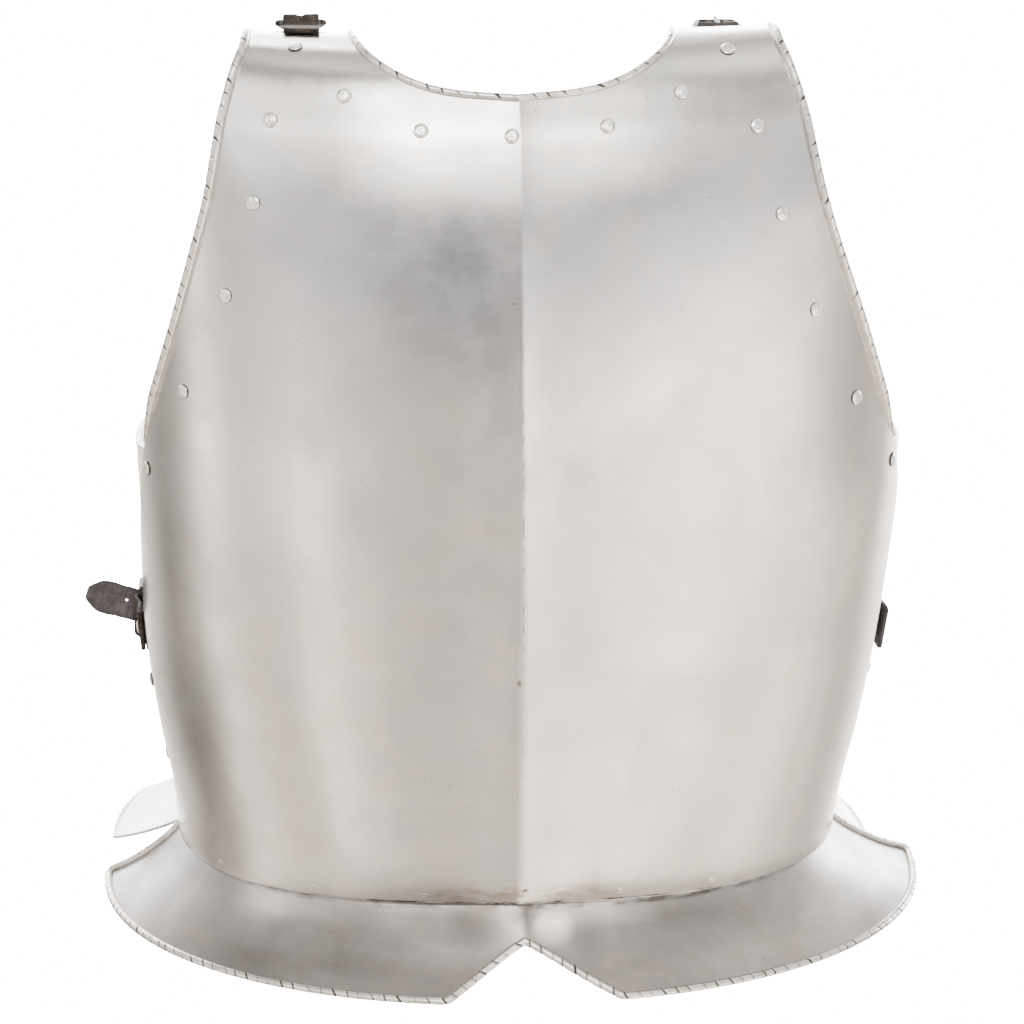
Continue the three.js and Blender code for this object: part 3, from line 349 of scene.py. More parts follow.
def net_between(bottom: Array, right: Array, top: Array, left: Array) -> Array:
    """Fill the places between four edges that meet at their corners.

    Args:
        bottom: Places of the lower edge, left to right.
        right: Places of the right edge, upwards.
        top: Places of the upper edge, left to right.
        left: Places of the left edge, upwards.

    Returns:
        The grid of places, lowest row first.
    """
    u = np.linspace(0, 1, len(bottom))[None, :, None]
    v = np.linspace(0, 1, len(left))[:, None, None]
    up_down = bottom[None] * (1 - v) + top[None] * v
    across = left[:, None] * (1 - u) + right[:, None] * u
    low, high = (line[0] * (1 - u) + line[-1] * u for line in (bottom, top))
    return up_down + across - (low * (1 - v) + high * v)


def level(places: Array, rise: float) -> Array:
    """The same angles at another rise."""
    moved = places.copy()
    moved[:, 1] = rise
    return moved


# ---------------------------------------------------------------- laying meshes


def lay_grid(bm: bmesh.types.BMesh, points: Array, marks: dict[str, Array] | None = None) -> None:
    """Lay one grid of faces through points.

    Args:
        bm: The mesh that takes the grid.
        points: Rows and columns of points, in millimetres.
        marks: Values for the mesh's own float attributes, one for each point.
    """
    rows, columns = points.shape[:2]
    layers = {
        name: bm.verts.layers.float.get(name) or bm.verts.layers.float.new(name)
        for name in marks or {}
    }
    made = bmesh.ops.create_grid(bm, x_segments=columns - 1, y_segments=rows - 1, size=1.0)
    for vert in made["verts"]:
        column = round((vert.co.x + 1) / 2 * (columns - 1))
        row = round((vert.co.y + 1) / 2 * (rows - 1))
        for name, layer in layers.items():
            vert[layer] = float(marks[name][row, column])
        vert.co = points[row, column] * MM


def shade(mesh: bpy.types.Mesh, sharp: float) -> None:
    """Shade a mesh smooth between the edges that are sharper than this, in degrees."""
    mesh.shade_smooth()
    mesh.set_sharp_from_angle(angle=math.radians(sharp))


def make_piece(name: str, bm: bmesh.types.BMesh, sharp: float = 40.0) -> bpy.types.Object:
    """Turn a finished mesh into a piece of the model."""
    mesh = bpy.data.meshes.new(name)
    bm.to_mesh(mesh)
    bm.free()
    shade(mesh, sharp)
    piece = bpy.data.objects.new(name, mesh)
    bpy.context.scene.collection.objects.link(piece)
    return piece


def stand_up(bm: bmesh.types.BMesh, point: Array, direction: Array) -> None:
    """Turn a mesh's z axis to a direction and bring its origin to a point, in millimetres."""
    stand = Vector(direction).to_track_quat("Z", "Y").to_matrix().to_4x4()
    stand.translation = Vector(point * MM)
    bmesh.ops.transform(bm, matrix=stand, verts=bm.verts)


def settle(piece: bpy.types.Object, sharp: float = 40.0) -> None:
    """Apply a piece's modifiers to its mesh."""
    bpy.context.view_layer.update()
    graph = bpy.context.evaluated_depsgraph_get()
    mesh = bpy.data.meshes.new_from_object(piece.evaluated_get(graph))
    piece.modifiers.clear()
    piece.data = mesh
    shade(mesh, sharp)


def carve(piece: bpy.types.Object, cutters: Sequence[bpy.types.Object]) -> None:
    """Cut holes in a piece and throw the cutters away."""
    for cutter in cutters:
        cut = piece.modifiers.new("cut", "BOOLEAN")
        cut.operation = "DIFFERENCE"
        cut.solver = "EXACT"
        cut.object = cutter
    settle(piece, 32.0)
    for cutter in cutters:
        bpy.data.objects.remove(cutter)


def loft(name: str, sections: Array, ring: bool = False, marks: dict[str, Array] | None = None,
         sharp: float = 40.0) -> bpy.types.Object:
    """Skin closed sections into one closed piece.

    Args:
        name: The piece's name.
        sections: Sections, their points and coordinates, in millimetres.
        ring: Whether the last section runs on into the first.
        marks: Values for the mesh's own float attributes, one for each point.
        sharp: Angle from which an edge is shaded sharp, in degrees.

    Returns:
        The piece.
    """
    def wrap(rows: Array) -> Array:
        closed = np.concatenate([rows, rows[:, :1]], 1)
        return np.concatenate([closed, closed[:1]], 0) if ring else closed

    bm = bmesh.new()
    lay_grid(bm, wrap(sections), {key: wrap(rows) for key, rows in (marks or {}).items()})
    bmesh.ops.remove_doubles(bm, verts=bm.verts, dist=WELD)
    bmesh.ops.holes_fill(bm, edges=[edge for edge in bm.edges if edge.is_boundary], sides=0)
    bmesh.ops.recalc_face_normals(bm, faces=bm.faces)
    return make_piece(name, bm, sharp)


# ---------------------------------------------------------------- materials

Tree = bpy.types.NodeTree
Socket = bpy.types.NodeSocket


def linear(colour: str) -> tuple[float, float, float, float]:
    """Turn an sRGB hex colour into the linear values that a shader takes."""
    parts = [int(colour[i:i + 2], 16) / 255 for i in (1, 3, 5)]
    return (*[c / 12.92 if c <= 0.04045 else ((c + 0.055) / 1.055) ** 2.4 for c in parts], 1.0)


def feed(tree: Tree, node: bpy.types.Node, inputs: dict | Sequence) -> None:
    """Give a node's inputs, in order or by name or number, a value or a socket to link."""
    for key, value in (inputs if isinstance(inputs, dict) else dict(enumerate(inputs))).items():
        if isinstance(value, Socket):
            tree.links.new(value, node.inputs[key])
        else:
            node.inputs[key].default_value = value


def add_node(tree: Tree, kind: str, inputs: dict | Sequence = (), out: str | int = 0,
             **settings: object) -> Socket:
    """Add a node to a material.

    Args:
        tree: The material's node tree.
        kind: The shader node's type.
        inputs: Values or sockets to link, in the inputs' order or by name or number.
        out: The name or number of the output that is wanted.
        settings: The node's own properties.

    Returns:
        That output.
    """
    node = tree.nodes.new(f"ShaderNode{kind}")
    for key, value in settings.items():
        setattr(node, key, value)
    feed(tree, node, inputs)
    return node.outputs[out]


def wash(tree: Tree, colour: Socket | tuple, tone: Socket | tuple, value: Socket,
         low: float = 0.0, high: float = 1.0, share: float = 1.0) -> Socket:
    """Lay a tone over a colour where a value is high.

    Args:
        tree: The material's node tree.
        colour: The colour below.
        tone: The colour laid over it.
        value: Says where.
        low: The value up to which nothing is laid.
        high: The value from which all of it is.
        share: How much of the colour below that covers.

    Returns:
        The colour that comes of it.
    """
    cover = add_node(tree, "MapRange", (value, low, high, 0, share))
    return add_node(tree, "Mix", {0: cover, 6: colour, 7: tone}, 2, data_type="RGBA")


@dataclass(frozen=True)
class Pattern:
    """Cloudy noise: the real size of its features, and how broken up they are."""

    size_mm: float
    detail: float = 3.0
    rough: float = 0.5
    warp: float = 0.0
    stretch: tuple[float, float, float] = ()

    def lay(self, tree: Tree, place: Socket) -> Socket:
        """Lay the pattern; a stretch under one draws it out along that axis."""
        if self.stretch:
            place = add_node(tree, "Mapping", {"Vector": place, "Scale": self.stretch})
        return add_node(tree, "TexNoise", {
            "Vector": place, "Scale": 1 / (self.size_mm * MM), "Detail": self.detail,
            "Roughness": self.rough, "Distortion": self.warp})


@dataclass(frozen=True)
class Mark:
    """A soft-edged patch of another tone, at a place in the model's own millimetres."""

    centre: tuple[float, float, float]
    size: tuple[float, float, float]
    tone: str
    share: float
    grain: float = 0.0
    core: float = 0.2

    def lay(self, tree: Tree, place: Socket, colour: Socket) -> Socket:
        """Lay the patch over a colour; a grain in mm breaks it up."""
        offset = place
        for operation, mm in (("SUBTRACT", self.centre), ("DIVIDE", self.size)):
            offset = add_node(tree, "VectorMath", (offset, [value * MM for value in mm]),
                              operation=operation)
        reach = add_node(tree, "VectorMath", (offset,), "Value", operation="LENGTH")
        share = add_node(tree, "MapRange", (reach, self.core, 1.0, self.share, 0))
        if self.grain:
            broken = Pattern(self.grain, rough=0.6, stretch=(0.3, 0.3, 1.0)).lay(tree, place)
            broken = add_node(tree, "MapRange", (broken, 0.45, 0.6, 0, 1))
            share = add_node(tree, "Math", (share, broken), operation="MULTIPLY")
        return wash(tree, colour, linear(self.tone), share)


Inputs = dict[str, Socket | float | tuple]


@dataclass(frozen=True)
class Recipe:
    """How one real material is made; each kind lays out its own nodes."""

    name: str

    def make(self) -> bpy.types.Material:
        """Build the material."""
        material = bpy.data.materials.new(self.name)
        material.use_nodes = True
        tree = material.node_tree
        place = add_node(tree, "TexCoord", out="Object")
        feed(tree, tree.nodes["Principled BSDF"], self.lay(tree, place))
        return material

    def lay(self, tree: Tree, place: Socket) -> Inputs:
        """Lay out the nodes.

        Args:
            tree: The material's node tree.
            place: The place on the piece, in the model's own metres.

        Returns:
            The shader's inputs by name.
        """
        raise NotImplementedError


@dataclass(frozen=True)
class PlateSteel(Recipe):
    """Mild steel sheet, hammered to shape, filed and polished by hand.

    The polish gives a satin gloss; the hammering leaves wide soft hollows that bend the
    reflections, and handling leaves clouds, fine scratches and light specks of rust. The marks
    add stains, and also painted shade, painted reflections and painted highlights at given places.
    """

    name: str = "mild steel sheet, hammered and hand polished"
    pale: str = "#D6D1CB"
    dark: str = "#C2BFBC"
    warm: str = "#D3C6BB"
    rust: str = "#6B4A36"
    gloss: tuple[float, float] = (0.2, 0.28)
    hollows: Pattern = Pattern(46.0, 1.5, 0.4)
    strips: Pattern = Pattern(34.0, 1.5, 0.4, stretch=(1.0, 1.0, 0.18))
    clouds: Pattern = Pattern(75.0, 4.0, 0.55, 0.6)
    patches: Pattern = Pattern(26.25, 5.0, 0.6, 0.3)
    fine: Pattern = Pattern(22.0)
    scratches: Pattern = Pattern(0.9, 2.0, 0.6, stretch=(1.0, 1.0, 0.06))
    strokes: Pattern = Pattern(1.44, 2.0, 0.6, stretch=(0.08, 0.08, 1.0))
    specks: Pattern = Pattern(2.6, 2.0)
    rusty: Pattern = Pattern(32.0, rough=0.6)
    marks: tuple[Mark, ...] = ()

    def lay(self, tree: Tree, place: Socket) -> Inputs:
        """Lay out the nodes."""
        clouds, fine, scratches, strokes, hollows, strips = (
            pattern.lay(tree, place) for pattern in (
                self.clouds, self.fine, self.scratches, self.strokes, self.hollows, self.strips))
        scuffs = add_node(tree, "Math", (scratches, strokes), operation="ADD")
        rough = add_node(tree, "MapRange", (fine, 0.3, 0.7, *self.gloss))
        for worn in ((scuffs, 0.75, 1.3, -0.01, 0.02), (clouds, 0.35, 0.65, 0.05, -0.04)):
            more = add_node(tree, "MapRange", worn)
            rough = add_node(tree, "Math", (rough, more), operation="ADD")
        beaten = add_node(tree, "Bump", {
            "Strength": 0.22, "Distance": 1.6 * MM,
            "Height": add_node(tree, "Math", (hollows, strips), operation="ADD")})
        scuffed = add_node(tree, "Bump", {
            "Strength": 0.06, "Distance": 0.05 * MM, "Height": scuffs, "Normal": beaten})
        return {"Base Color": self.colour(tree, place, clouds), "Roughness": rough,
                "Normal": scuffed, "Metallic": 1.0}

    def colour(self, tree: Tree, place: Socket, clouds: Socket) -> Socket:
        """The steel's colour: clouds, warm patches, specks of rust, and the marks, which hold stains as
        well as painted shade and highlights.
        """
        colour = wash(tree, linear(self.dark), linear(self.pale), clouds, 0.38, 0.62)
        colour = wash(tree, colour, linear(self.warm), self.patches.lay(tree, place), 0.5, 0.68, 0.55)
        specks = add_node(tree, "MapRange", (self.specks.lay(tree, place), 0.70, 0.76, 0, 1))
        where = add_node(tree, "MapRange", (self.rusty.lay(tree, place), 0.5, 0.66, 0, 0.75))
        rusty = add_node(tree, "Math", (specks, where), operation="MULTIPLY")
        colour = wash(tree, colour, linear(self.rust), rusty)
        for mark in self.marks:
            colour = mark.lay(tree, place, colour)
        return colour


@dataclass(frozen=True)
class RolledSteel(Recipe):
    """The same sheet turned over at its edge, chiselled and filed in slanting cuts.

    The crests are rubbed bright, and the cuts are painted dark, for their shade as well as the scale
    and old grease in them.
    """

    name: str = "mild steel roll, chiselled and filed"
    bright: str = "#D6D1CA"
    dark: str = "#2B2622"
    grime: str = "#8E8072"
    worn: Pattern = Pattern(9.0, 4.0, 0.6)
    filed: Pattern = Pattern(2.2, rough=0.6)

    def lay(self, tree: Tree, place: Socket) -> Inputs:
        """Lay out the nodes."""
        nick = add_node(tree, "Attribute", out="Fac", attribute_name="nick")
        worn = self.worn.lay(tree, place)
        colour = wash(tree, linear(self.bright), linear(self.grime), worn, 0.45, 0.75, 0.6)
        rough = [add_node(tree, "MapRange", values) for values in (
            (nick, 0.1, 0.9, 0.28, 0.6), (worn, 0.3, 0.7, 0, 0.14))]
        # The cuts get the near-black tone: painted shade in the grooves, together with the scale and
        # grease there.
        return {
            "Base Color": wash(tree, colour, linear(self.dark), nick, 0.08, 0.45, 0.97),
            "Roughness": add_node(tree, "Math", rough, operation="ADD"),
            "Normal": add_node(tree, "Bump", {
                "Strength": 0.25, "Distance": 0.25 * MM, "Height": self.filed.lay(tree, place)}),
            "Metallic": 1.0}


@dataclass(frozen=True)
class RivetSteel(Recipe):
    """Bright steel rivets, closed over a snap and left polished, with painted shade round the foot of
    the head where it meets the plate.
    """

    name: str = "steel rivet, snap headed and polished"
    bright: str = "#F2EFEB"
    dull: str = "#B4ADA5"
    shade: str = "#4A433D"
    smear: Pattern = Pattern(2.4, rough=0.6)

    def lay(self, tree: Tree, place: Socket) -> Inputs:
        """Lay out the nodes."""
        smear = self.smear.lay(tree, place)
        foot = add_node(tree, "Attribute", out="Fac", attribute_name="foot")
        colour = wash(tree, linear(self.bright), linear(self.dull), smear, 0.45, 0.7, 0.7)
        # The foot ring takes the dark tone as painted shade where the head meets the plate.
        return {"Base Color": wash(tree, colour, linear(self.shade), foot),
                "Roughness": add_node(tree, "MapRange", (smear, 0.3, 0.7, 0.2, 0.38)),
                "Metallic": 1.0}


@dataclass(frozen=True)
class BlackIron(Recipe):
    """Forged iron wire, blackened in oil and rubbed bright where the strap runs."""

    name: str = "iron wire, forged and blackened"
    black: str = "#2A2725"
    rubbed: str = "#7D7771"
    rust: str = "#54392A"
    wear: Pattern = Pattern(4.5, 4.0, 0.65)
    bloom: Pattern = Pattern(2.0, rough=0.6)

    def lay(self, tree: Tree, place: Socket) -> Inputs:
        """Lay out the nodes."""
        wear, bloom = self.wear.lay(tree, place), self.bloom.lay(tree, place)
        colour = wash(tree, linear(self.black), linear(self.rubbed), wear, 0.52, 0.66, 0.9)
        return {
            "Base Color": wash(tree, colour, linear(self.rust), bloom, 0.58, 0.7, 0.7),
            "Roughness": add_node(tree, "MapRange", (wear, 0.35, 0.7, 0.55, 0.3)),
            "Normal": add_node(tree, "Bump", {
                "Strength": 0.35, "Distance": 0.2 * MM, "Height": bloom}),
            "Metallic": 1.0}


@dataclass(frozen=True)
class StrapLeather(Recipe):
    """Vegetable-tanned cowhide, dyed dark brown, oiled and long dried out.

    The grain side is rubbed grey on its high places and cracked across; the cut edges stay
    darker and redder.
    """

    name: str = "vegetable-tanned cowhide, dyed and oiled"
    dark: str = "#1C1611"
    worn: str = "#463B32"
    edge: str = "#180C09"
    shine: float = 0.68
    cracking: float = 1.0
    pebble_mm: float = 0.9
    rubbed: Pattern = Pattern(6.0, 4.0, 0.6, 0.4)
    cracks: Pattern = Pattern(1.7, 3.0, 0.6, 0.3, stretch=(1.0, 0.12, 1.0))

    def lay(self, tree: Tree, place: Socket) -> Inputs:
        """Lay out the nodes."""
        rim, along, across = (add_node(tree, "Attribute", out="Fac", attribute_name=name)
                              for name in ("rim", "along", "across"))
        rubbed = self.rubbed.lay(tree, place)
        cracks = self.cracks.lay(tree, add_node(tree, "CombineXYZ", (along, across)))
        pebble = add_node(tree, "TexVoronoi", {
            "Vector": place, "Scale": 1 / (self.pebble_mm * MM)}, "Distance")
        colour = wash(tree, linear(self.dark), linear(self.worn), rubbed, 0.42, 0.66, 0.85)
        colour = wash(tree, colour, linear(self.edge), cracks, 0.54, 0.62, 0.85 * self.cracking)
        heights = [add_node(tree, "MapRange", values) for values in (
            (pebble, 0, 0.8, 0.4, 0), (cracks, 0.5, 0.7, 0, self.cracking))]
        return {
            "Base Color": wash(tree, colour, linear(self.edge), rim),
            "Roughness": add_node(tree, "MapRange", (
                rubbed, 0.35, 0.7, self.shine, self.shine + 0.22)),
            "Specular IOR Level": 0.25,
            "Normal": add_node(tree, "Bump", {
                "Strength": 0.5, "Distance": 0.25 * MM,
                "Height": add_node(tree, "Math", heights, operation="SUBTRACT")})}


class Finish(Enum):
    """The finishes, each with the record's slot that it belongs to."""

    PLATE = (PlateSteel(marks=(
        # Painted shadow: a dark line along the breast plate's lower edge, where the seam lies in shade.
        Mark((0.8, -118, 41), (150, 70, 1.3), "#2E2620", 0.95, 5.0, 0.6),
        Mark((0, -118, 47), (80, 60, 8), "#8C7358", 0.6, 5.0),
        Mark((3.4, -118, 49.5), (2.2, 40, 1.6), "#2A221D", 0.9),
        # Painted shade: a thin darker line along the ridge's crease.
        Mark((0.9, -140, 240), (0.8, 90, 190), "#7D746C", 0.75, 9.0),
        Mark((-1.0, -140, 172), (1.6, 60, 2.4), "#4E443D", 0.8),
        # The next five are painted shade: grey patches for the darker reflections down the left side,
        # on the upper chest left of the ridge, and on the right side.
        Mark((-160, -60, 128), (24, 80, 62), "#8D8C8D", 0.75),
        Mark((-174, -52, 215), (14, 60, 90), "#9A9B9A", 0.6),
        Mark((-30, -140, 372), (45, 90, 55), "#A9A8AC", 0.6),
        Mark((-90, -110, 380), (60, 80, 34), "#B7B7BD", 0.5),
        Mark((158, -80, 300), (22, 90, 70), "#A9A6A4", 0.6),
    )), "plate_steel")
    # The skirt is the same steel as the breast plate, painted darker all over as painted shade.
    SKIRT = (PlateSteel("mild steel sheet, hammered, skirt", "#9E9994", "#7E7A77", "#9C8F85",
                        gloss=(0.24, 0.32), hollows=Pattern(60.0, 1.5, 0.4), marks=(
        # Painted shade and a painted highlight round the notch: dark patches and arcs each side of its
        # apex, a bright lobe to its right, and a darker patch further right.
        Mark((-60, -140, 33), (85, 120, 15), "#524F4C", 0.85),
        Mark((-26, -145, 33), (44, 80, 13), "#2E2B29", 0.9),
        Mark((2, -145, 36), (12, 80, 8), "#2E2B29", 0.8),
        Mark((18, -150, 29), (13, 80, 9), "#F0EAE4", 0.8),
        Mark((36, -145, 26), (13, 80, 20), "#5C5956", 0.6),
        Mark((95, -140, 22), (60, 120, 16), "#6F6B69", 0.45),
        # Painted shadow under the breast plate's lower edge, along the seam.
        Mark((0, -100, 38.6), (190, 90, 2.4), "#3A322C", 0.8, 6.0, 0.5),
        Mark((0, -130, 10), (220, 120, 9), "#8A7A6C", 0.5, 4.0),
    )), "plate_steel")
    ROLL = (RolledSteel(), "plate_steel")
    RIVET = (RivetSteel(), "rivet_steel")
    IRON = (BlackIron(), "iron")
    LEATHER = (StrapLeather(), "leather")
    WORN_LEATHER = (StrapLeather("vegetable-tanned cowhide, worn grey", "#3A3536", "#565052", "#2C2523",
                                 shine=0.5, cracking=0.4), "leather")

    def __init__(self, recipe: Recipe, slot: str) -> None:
        """Keep the recipe and the slot; the material is made when a piece first needs it."""
        self.recipe = recipe
        self.slot = slot
        self.made: bpy.types.Material | None = None

    def dress(self, piece: bpy.types.Object) -> None:
        """Give a piece this finish."""
        if self.made is None:
            self.made = self.recipe.make()
        piece.data.materials.clear()
        piece.data.materials.append(self.made)


def place_piece(piece: bpy.types.Object, finish: Finish, body: str, *nodes: str) -> None:
    """Dress a piece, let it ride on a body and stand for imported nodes."""
    finish.dress(piece)
    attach(piece, body)
    if nodes:
        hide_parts(*nodes)
    LOG.info("%s: %d faces, rides on %s", piece.name, len(piece.data.polygons), body)


# ---------------------------------------------------------------- sheets and rolled edges


def lay_sheet(name: str, face: Callable[[Array], Array], nets: Sequence[Array]) -> bpy.types.Object:
    """Lay a sheet of even thickness on a face.

    Args:
        name: The piece's name.
        face: Gives the outer face's points at places.
        nets: Grids of places that meet at their edges, columns to the right seen from outside.

    Returns:
        The piece, its outer face on the given face.
    """
    bm = bmesh.new()
    for net in nets:
        lay_grid(bm, face(net))
    bmesh.ops.remove_doubles(bm, verts=bm.verts, dist=WELD)
    piece = make_piece(name, bm)
    solid = piece.modifiers.new("thickness", "SOLIDIFY")
    solid.thickness = SHEET * MM
    solid.offset = -1.0
    solid.use_even_offset = True
    settle(piece)
    return piece


def even_places(places: Array, face: Callable[[Array], Array], count: int) -> Array:
    """Spread places evenly along a line, by its real length on a face."""
    dense = between_all(places, 12)
    length = run_length(face(dense))
    at = np.linspace(0, length[-1], count)
    return np.stack([np.interp(at, length, col) for col in dense.T], -1)


def between_all(places: Array, steps: int) -> Array:
    """Put more places on the straight spans between the given ones."""
    spans = [between(a, b, steps)[:-1] for a, b in zip(places, places[1:])]
    return np.vstack([*spans, places[-1:]])


def rounded_ends(run: Array, radius: float, least: float) -> Array:
    """How much of its height a strip keeps along its run, where its ends are rounded off."""
    near_end = np.clip(np.minimum(run, run[-1] - run) / radius, 0, 1)
    return np.sqrt(np.clip(1 - (1 - near_end) ** 2, least, 1))


@dataclass(frozen=True)
class RopedRoll:
    """An edge turned outwards over a wire and cut with slanting grooves, like a rope."""

    radius: float
    pitch: float = 7.4  # from one cut to the next
    depth: float = 0.45
    cut: float = 0.12  # half a cut's width, as a share of the pitch
    lean: int = 1
    step: float = 0.45
    around: int = 18
    ease: int = 3
    slim_start: float = 1.0  # shares of the radius that are left at the ends
    slim_end: float = 1.0
    slim_length: float = 30.0

    def build(self, name: str, places: Array,
              face: Callable[[Array, float], Array]) -> bpy.types.Object:
        """Build the roll.

        Args:
            name: The piece's name.
            places: The edge, counter-clockwise as seen from outside the plate.
            face: Gives the plate's points at places, at a depth behind its outer face.

        Returns:
            The piece, a closed tube with rounded ends.
        """
        dense = between_all(places, 10)
        outer, inner = face(dense, 0.0), face(dense, SHEET)
        count = int(run_length(outer)[-1] / self.step)
        outer, inner = resample(outer, count, inner)
        normal = unit(outer - inner)
        outward = unit(np.cross(np.gradient(outer, axis=0), normal))
        centre = outer + outward * self.radius * 0.55 + normal * (self.radius - SHEET)
        centre = ease_line(centre, self.ease)
        outward = unit(ease_line(outward, self.ease))
        run = run_length(centre)
        turn = np.linspace(0, 2 * math.pi, self.around, endpoint=False)[None, :]
        # The cuts are made by hand: their spacing wanders, and some go deeper than others.
        wander = 0.13 * np.sin(run * 0.11) + 0.09 * np.sin(run * 0.37 + 1.3)
        phase = (run / self.pitch + wander)[:, None] + self.lean * turn / (2 * math.pi)
        groove = np.clip(1 - np.abs(phase % 1 - 0.5) / self.cut, 0, 1) ** 1.3
        strength = 0.72 + 0.28 * np.sin(run * 0.23 + 0.6)[:, None]
        # They go round the outer face and fade out behind it.
        outside = np.clip(0.75 + 0.9 * np.cos(turn - math.radians(30)), 0, 1)
        nick = groove * strength * outside
        dome = rounded_ends(run, self.radius, 0.02)[:, None]
        # Towards its ends the roll gets slimmer and sinks back against the sheet.
        slim = np.interp(run, [0, self.slim_length], [self.slim_start, 1])
        slim = slim * np.interp(run[-1] - run, [0, self.slim_length], [self.slim_end, 1])
        centre = centre - (1 - slim)[:, None] * self.radius * (0.35 * outward + normal)
        radius = (self.radius * slim[:, None] - self.depth * nick) * dome
        radius = radius * (1 + 0.02 * np.sin(run * 0.9)[:, None])
        section = (centre[:, None] + radius[..., None] * (
            np.cos(turn)[..., None] * outward[:, None] + np.sin(turn)[..., None] * normal[:, None]))
        section[..., 2] = np.maximum(section[..., 2], 0)  # it rests on the ground
        return loft(name, section, marks={"nick": nick}, sharp=70.0)


@dataclass
class BreastPlate:
    """The main plate: one sheet with a medial ridge, its neck and arm openings rolled."""

    torso: Torso
    seam_rise: tuple = (0, 15, 50, 100, 143, 170, 200)
    seam_angle: tuple = (93, 92.6, 91.4, 87.6, 83.7, 80.5, 76.8)
    armpit_rise: float = 234.0
    chest_rise: float = 441.0
    arm_rise: tuple = (234, 258, 282, 305, 328, 350, 371, 391, 412, 429, 443, 457, 503)
    arm_left: tuple = (
        186.5, 181.5, 175, 168.5, 162.3, 156.4, 151, 147.3, 143.6, 139.5, 135.6, 131.8, 129)
    arm_right: tuple = (
        191.5, 184.5, 177.2, 170, 162.4, 155.2, 149.2, 144.8, 140.6, 136.2, 132, 128.6, 127)
    neck_across: tuple = (0, 25, 41, 54, 64.5, 72.3, 77.3, 79.8, 80.5)
    neck_rise: tuple = (428.2, 429.8, 432.6, 437.4, 444, 452, 462, 476, 503)
    neck_middle: float = -1.0
    neck_turn: float = 66.0
    half_columns: int = 96
    tie_columns: int = 30
    body_rows: int = 150
    shoulder_rows: int = 40

    def arm(self, side: Side, rise: Array) -> Array:
        """Places on the edge of an arm opening."""
        table = self.arm_left if side is Side.LEFT else self.arm_right
        across = side.value * smooth(self.arm_rise, table, rise)
        return np.stack([self.torso.angle_across(across, rise), rise], -1)

    def seam_turn(self, side: Side, rise: Array) -> Array:
        """The side edge's angle without its sign, at each rise."""
        corner = abs(float(self.arm(side, np.array([self.armpit_rise]))[0, 0]))
        keys = (*self.seam_rise, self.armpit_rise)
        return smooth(keys, (*self.seam_angle, corner), rise)

    def side_line(self, side: Side) -> Array:
        """The side edge and the arm opening up to the chest, upwards."""
        seam_rise = np.linspace(0, self.armpit_rise, 60)
        seam = np.stack([side.value * self.seam_turn(side, seam_rise), seam_rise], -1)
        arm = self.arm(side, np.linspace(self.armpit_rise, self.chest_rise, 80))
        return np.vstack([seam, arm[1:]])

    def neck(self, side: Side) -> tuple[Array, Array]:
        """Half the neck edge from the ridge outwards: its low curve, then its steep end."""
        line = spline(np.stack([self.neck_across, self.neck_rise], -1), 40)
        across = side.value * line[:, 0] + self.neck_middle
        places = np.stack([self.torso.angle_across(across, line[:, 1]), line[:, 1]], -1)
        turn = int(np.argmax(line[:, 0] >= self.neck_turn))
        low = places[:turn + 1]
        if side is Side.RIGHT:  # the neck's middle lies on the ridge's left
            low = low[low[:, 0] > 0.2]
        return np.vstack([self.ridge_top[None], low]), places[turn:]

    @property
    def ridge_top(self) -> Array:
        """The place where the ridge meets the neck."""
        return np.array([0.0, self.neck_rise[0]])

    def half(self, side: Side) -> tuple[list[Array], dict[str, Array]]:
        """Cover one half of the plate.

        Args:
            side: Which half.

        Returns:
            Its nets, and its edge lines by name.
        """
        skin = self.torso.skin
        low, steep = self.neck(side)
        chest = self.side_line(side)
        columns = self.half_columns + self.tie_columns - 1
        ridge = even_places(np.array([[0.0, 0.0], self.ridge_top]), skin, self.body_rows)
        outer = even_places(chest, skin, self.body_rows)
        waist = even_places(np.vstack([ridge[:1], chest[:1]]), skin, columns)
        neck_low = even_places(low, skin, self.half_columns)
        tie = even_places(np.vstack([low[-1:], chest[-1:]]), skin, self.tie_columns)
        top = np.vstack([neck_low, tie[1:]])
        shoulder = self.arm(side, np.linspace(self.chest_rise, SHOULDER_RISE, 60))
        shoulder = even_places(shoulder, skin, self.shoulder_rows)
        neck_side = even_places(steep, skin, self.shoulder_rows)
        rear = even_places(np.vstack([neck_side[-1:], shoulder[-1:]]), skin, self.tie_columns)
        if side is Side.RIGHT:
            nets = [net_between(waist, outer, top, ridge), net_between(tie, shoulder, rear, neck_side)]
        else:
            nets = [net_between(waist[::-1], ridge, top[::-1], outer),
                    net_between(tie[::-1], neck_side, rear[::-1], shoulder)]
        arm_line = self.arm(side, np.linspace(self.armpit_rise, SHOULDER_RISE, 160))
        return nets, {"arm": arm_line, "neck": np.vstack([low, steep[1:]])}

    def build(self) -> None:
        """Build the sheet and its rolled edges."""
        left_nets, left = self.half(Side.LEFT)
        right_nets, right = self.half(Side.RIGHT)
        sheet = lay_sheet("breast_sheet", self.torso.skin, [*left_nets, *right_nets])
        place_piece(sheet, Finish.PLATE, "root", "breast_plate")
        right_roll = RopedRoll(ARM_ROLL, slim_start=0.45, slim_end=0.5)
        left_roll = RopedRoll(ARM_ROLL, lean=-1, slim_start=0.5, slim_end=0.45)
        neck_roll = RopedRoll(NECK_ROLL, pitch=8.6, depth=0.35, slim_start=0.55, slim_end=0.55)
        neck_line = np.vstack([right["neck"][::-1], left["neck"][1:]])
        for name, roll, line in (
                ("arm_roll_right", right_roll, right["arm"]),
                ("arm_roll_left", left_roll, left["arm"][::-1]),
                ("neck_roll", neck_roll, neck_line)):
            place_piece(roll.build(name, line, self.torso.point), Finish.ROLL, "root")


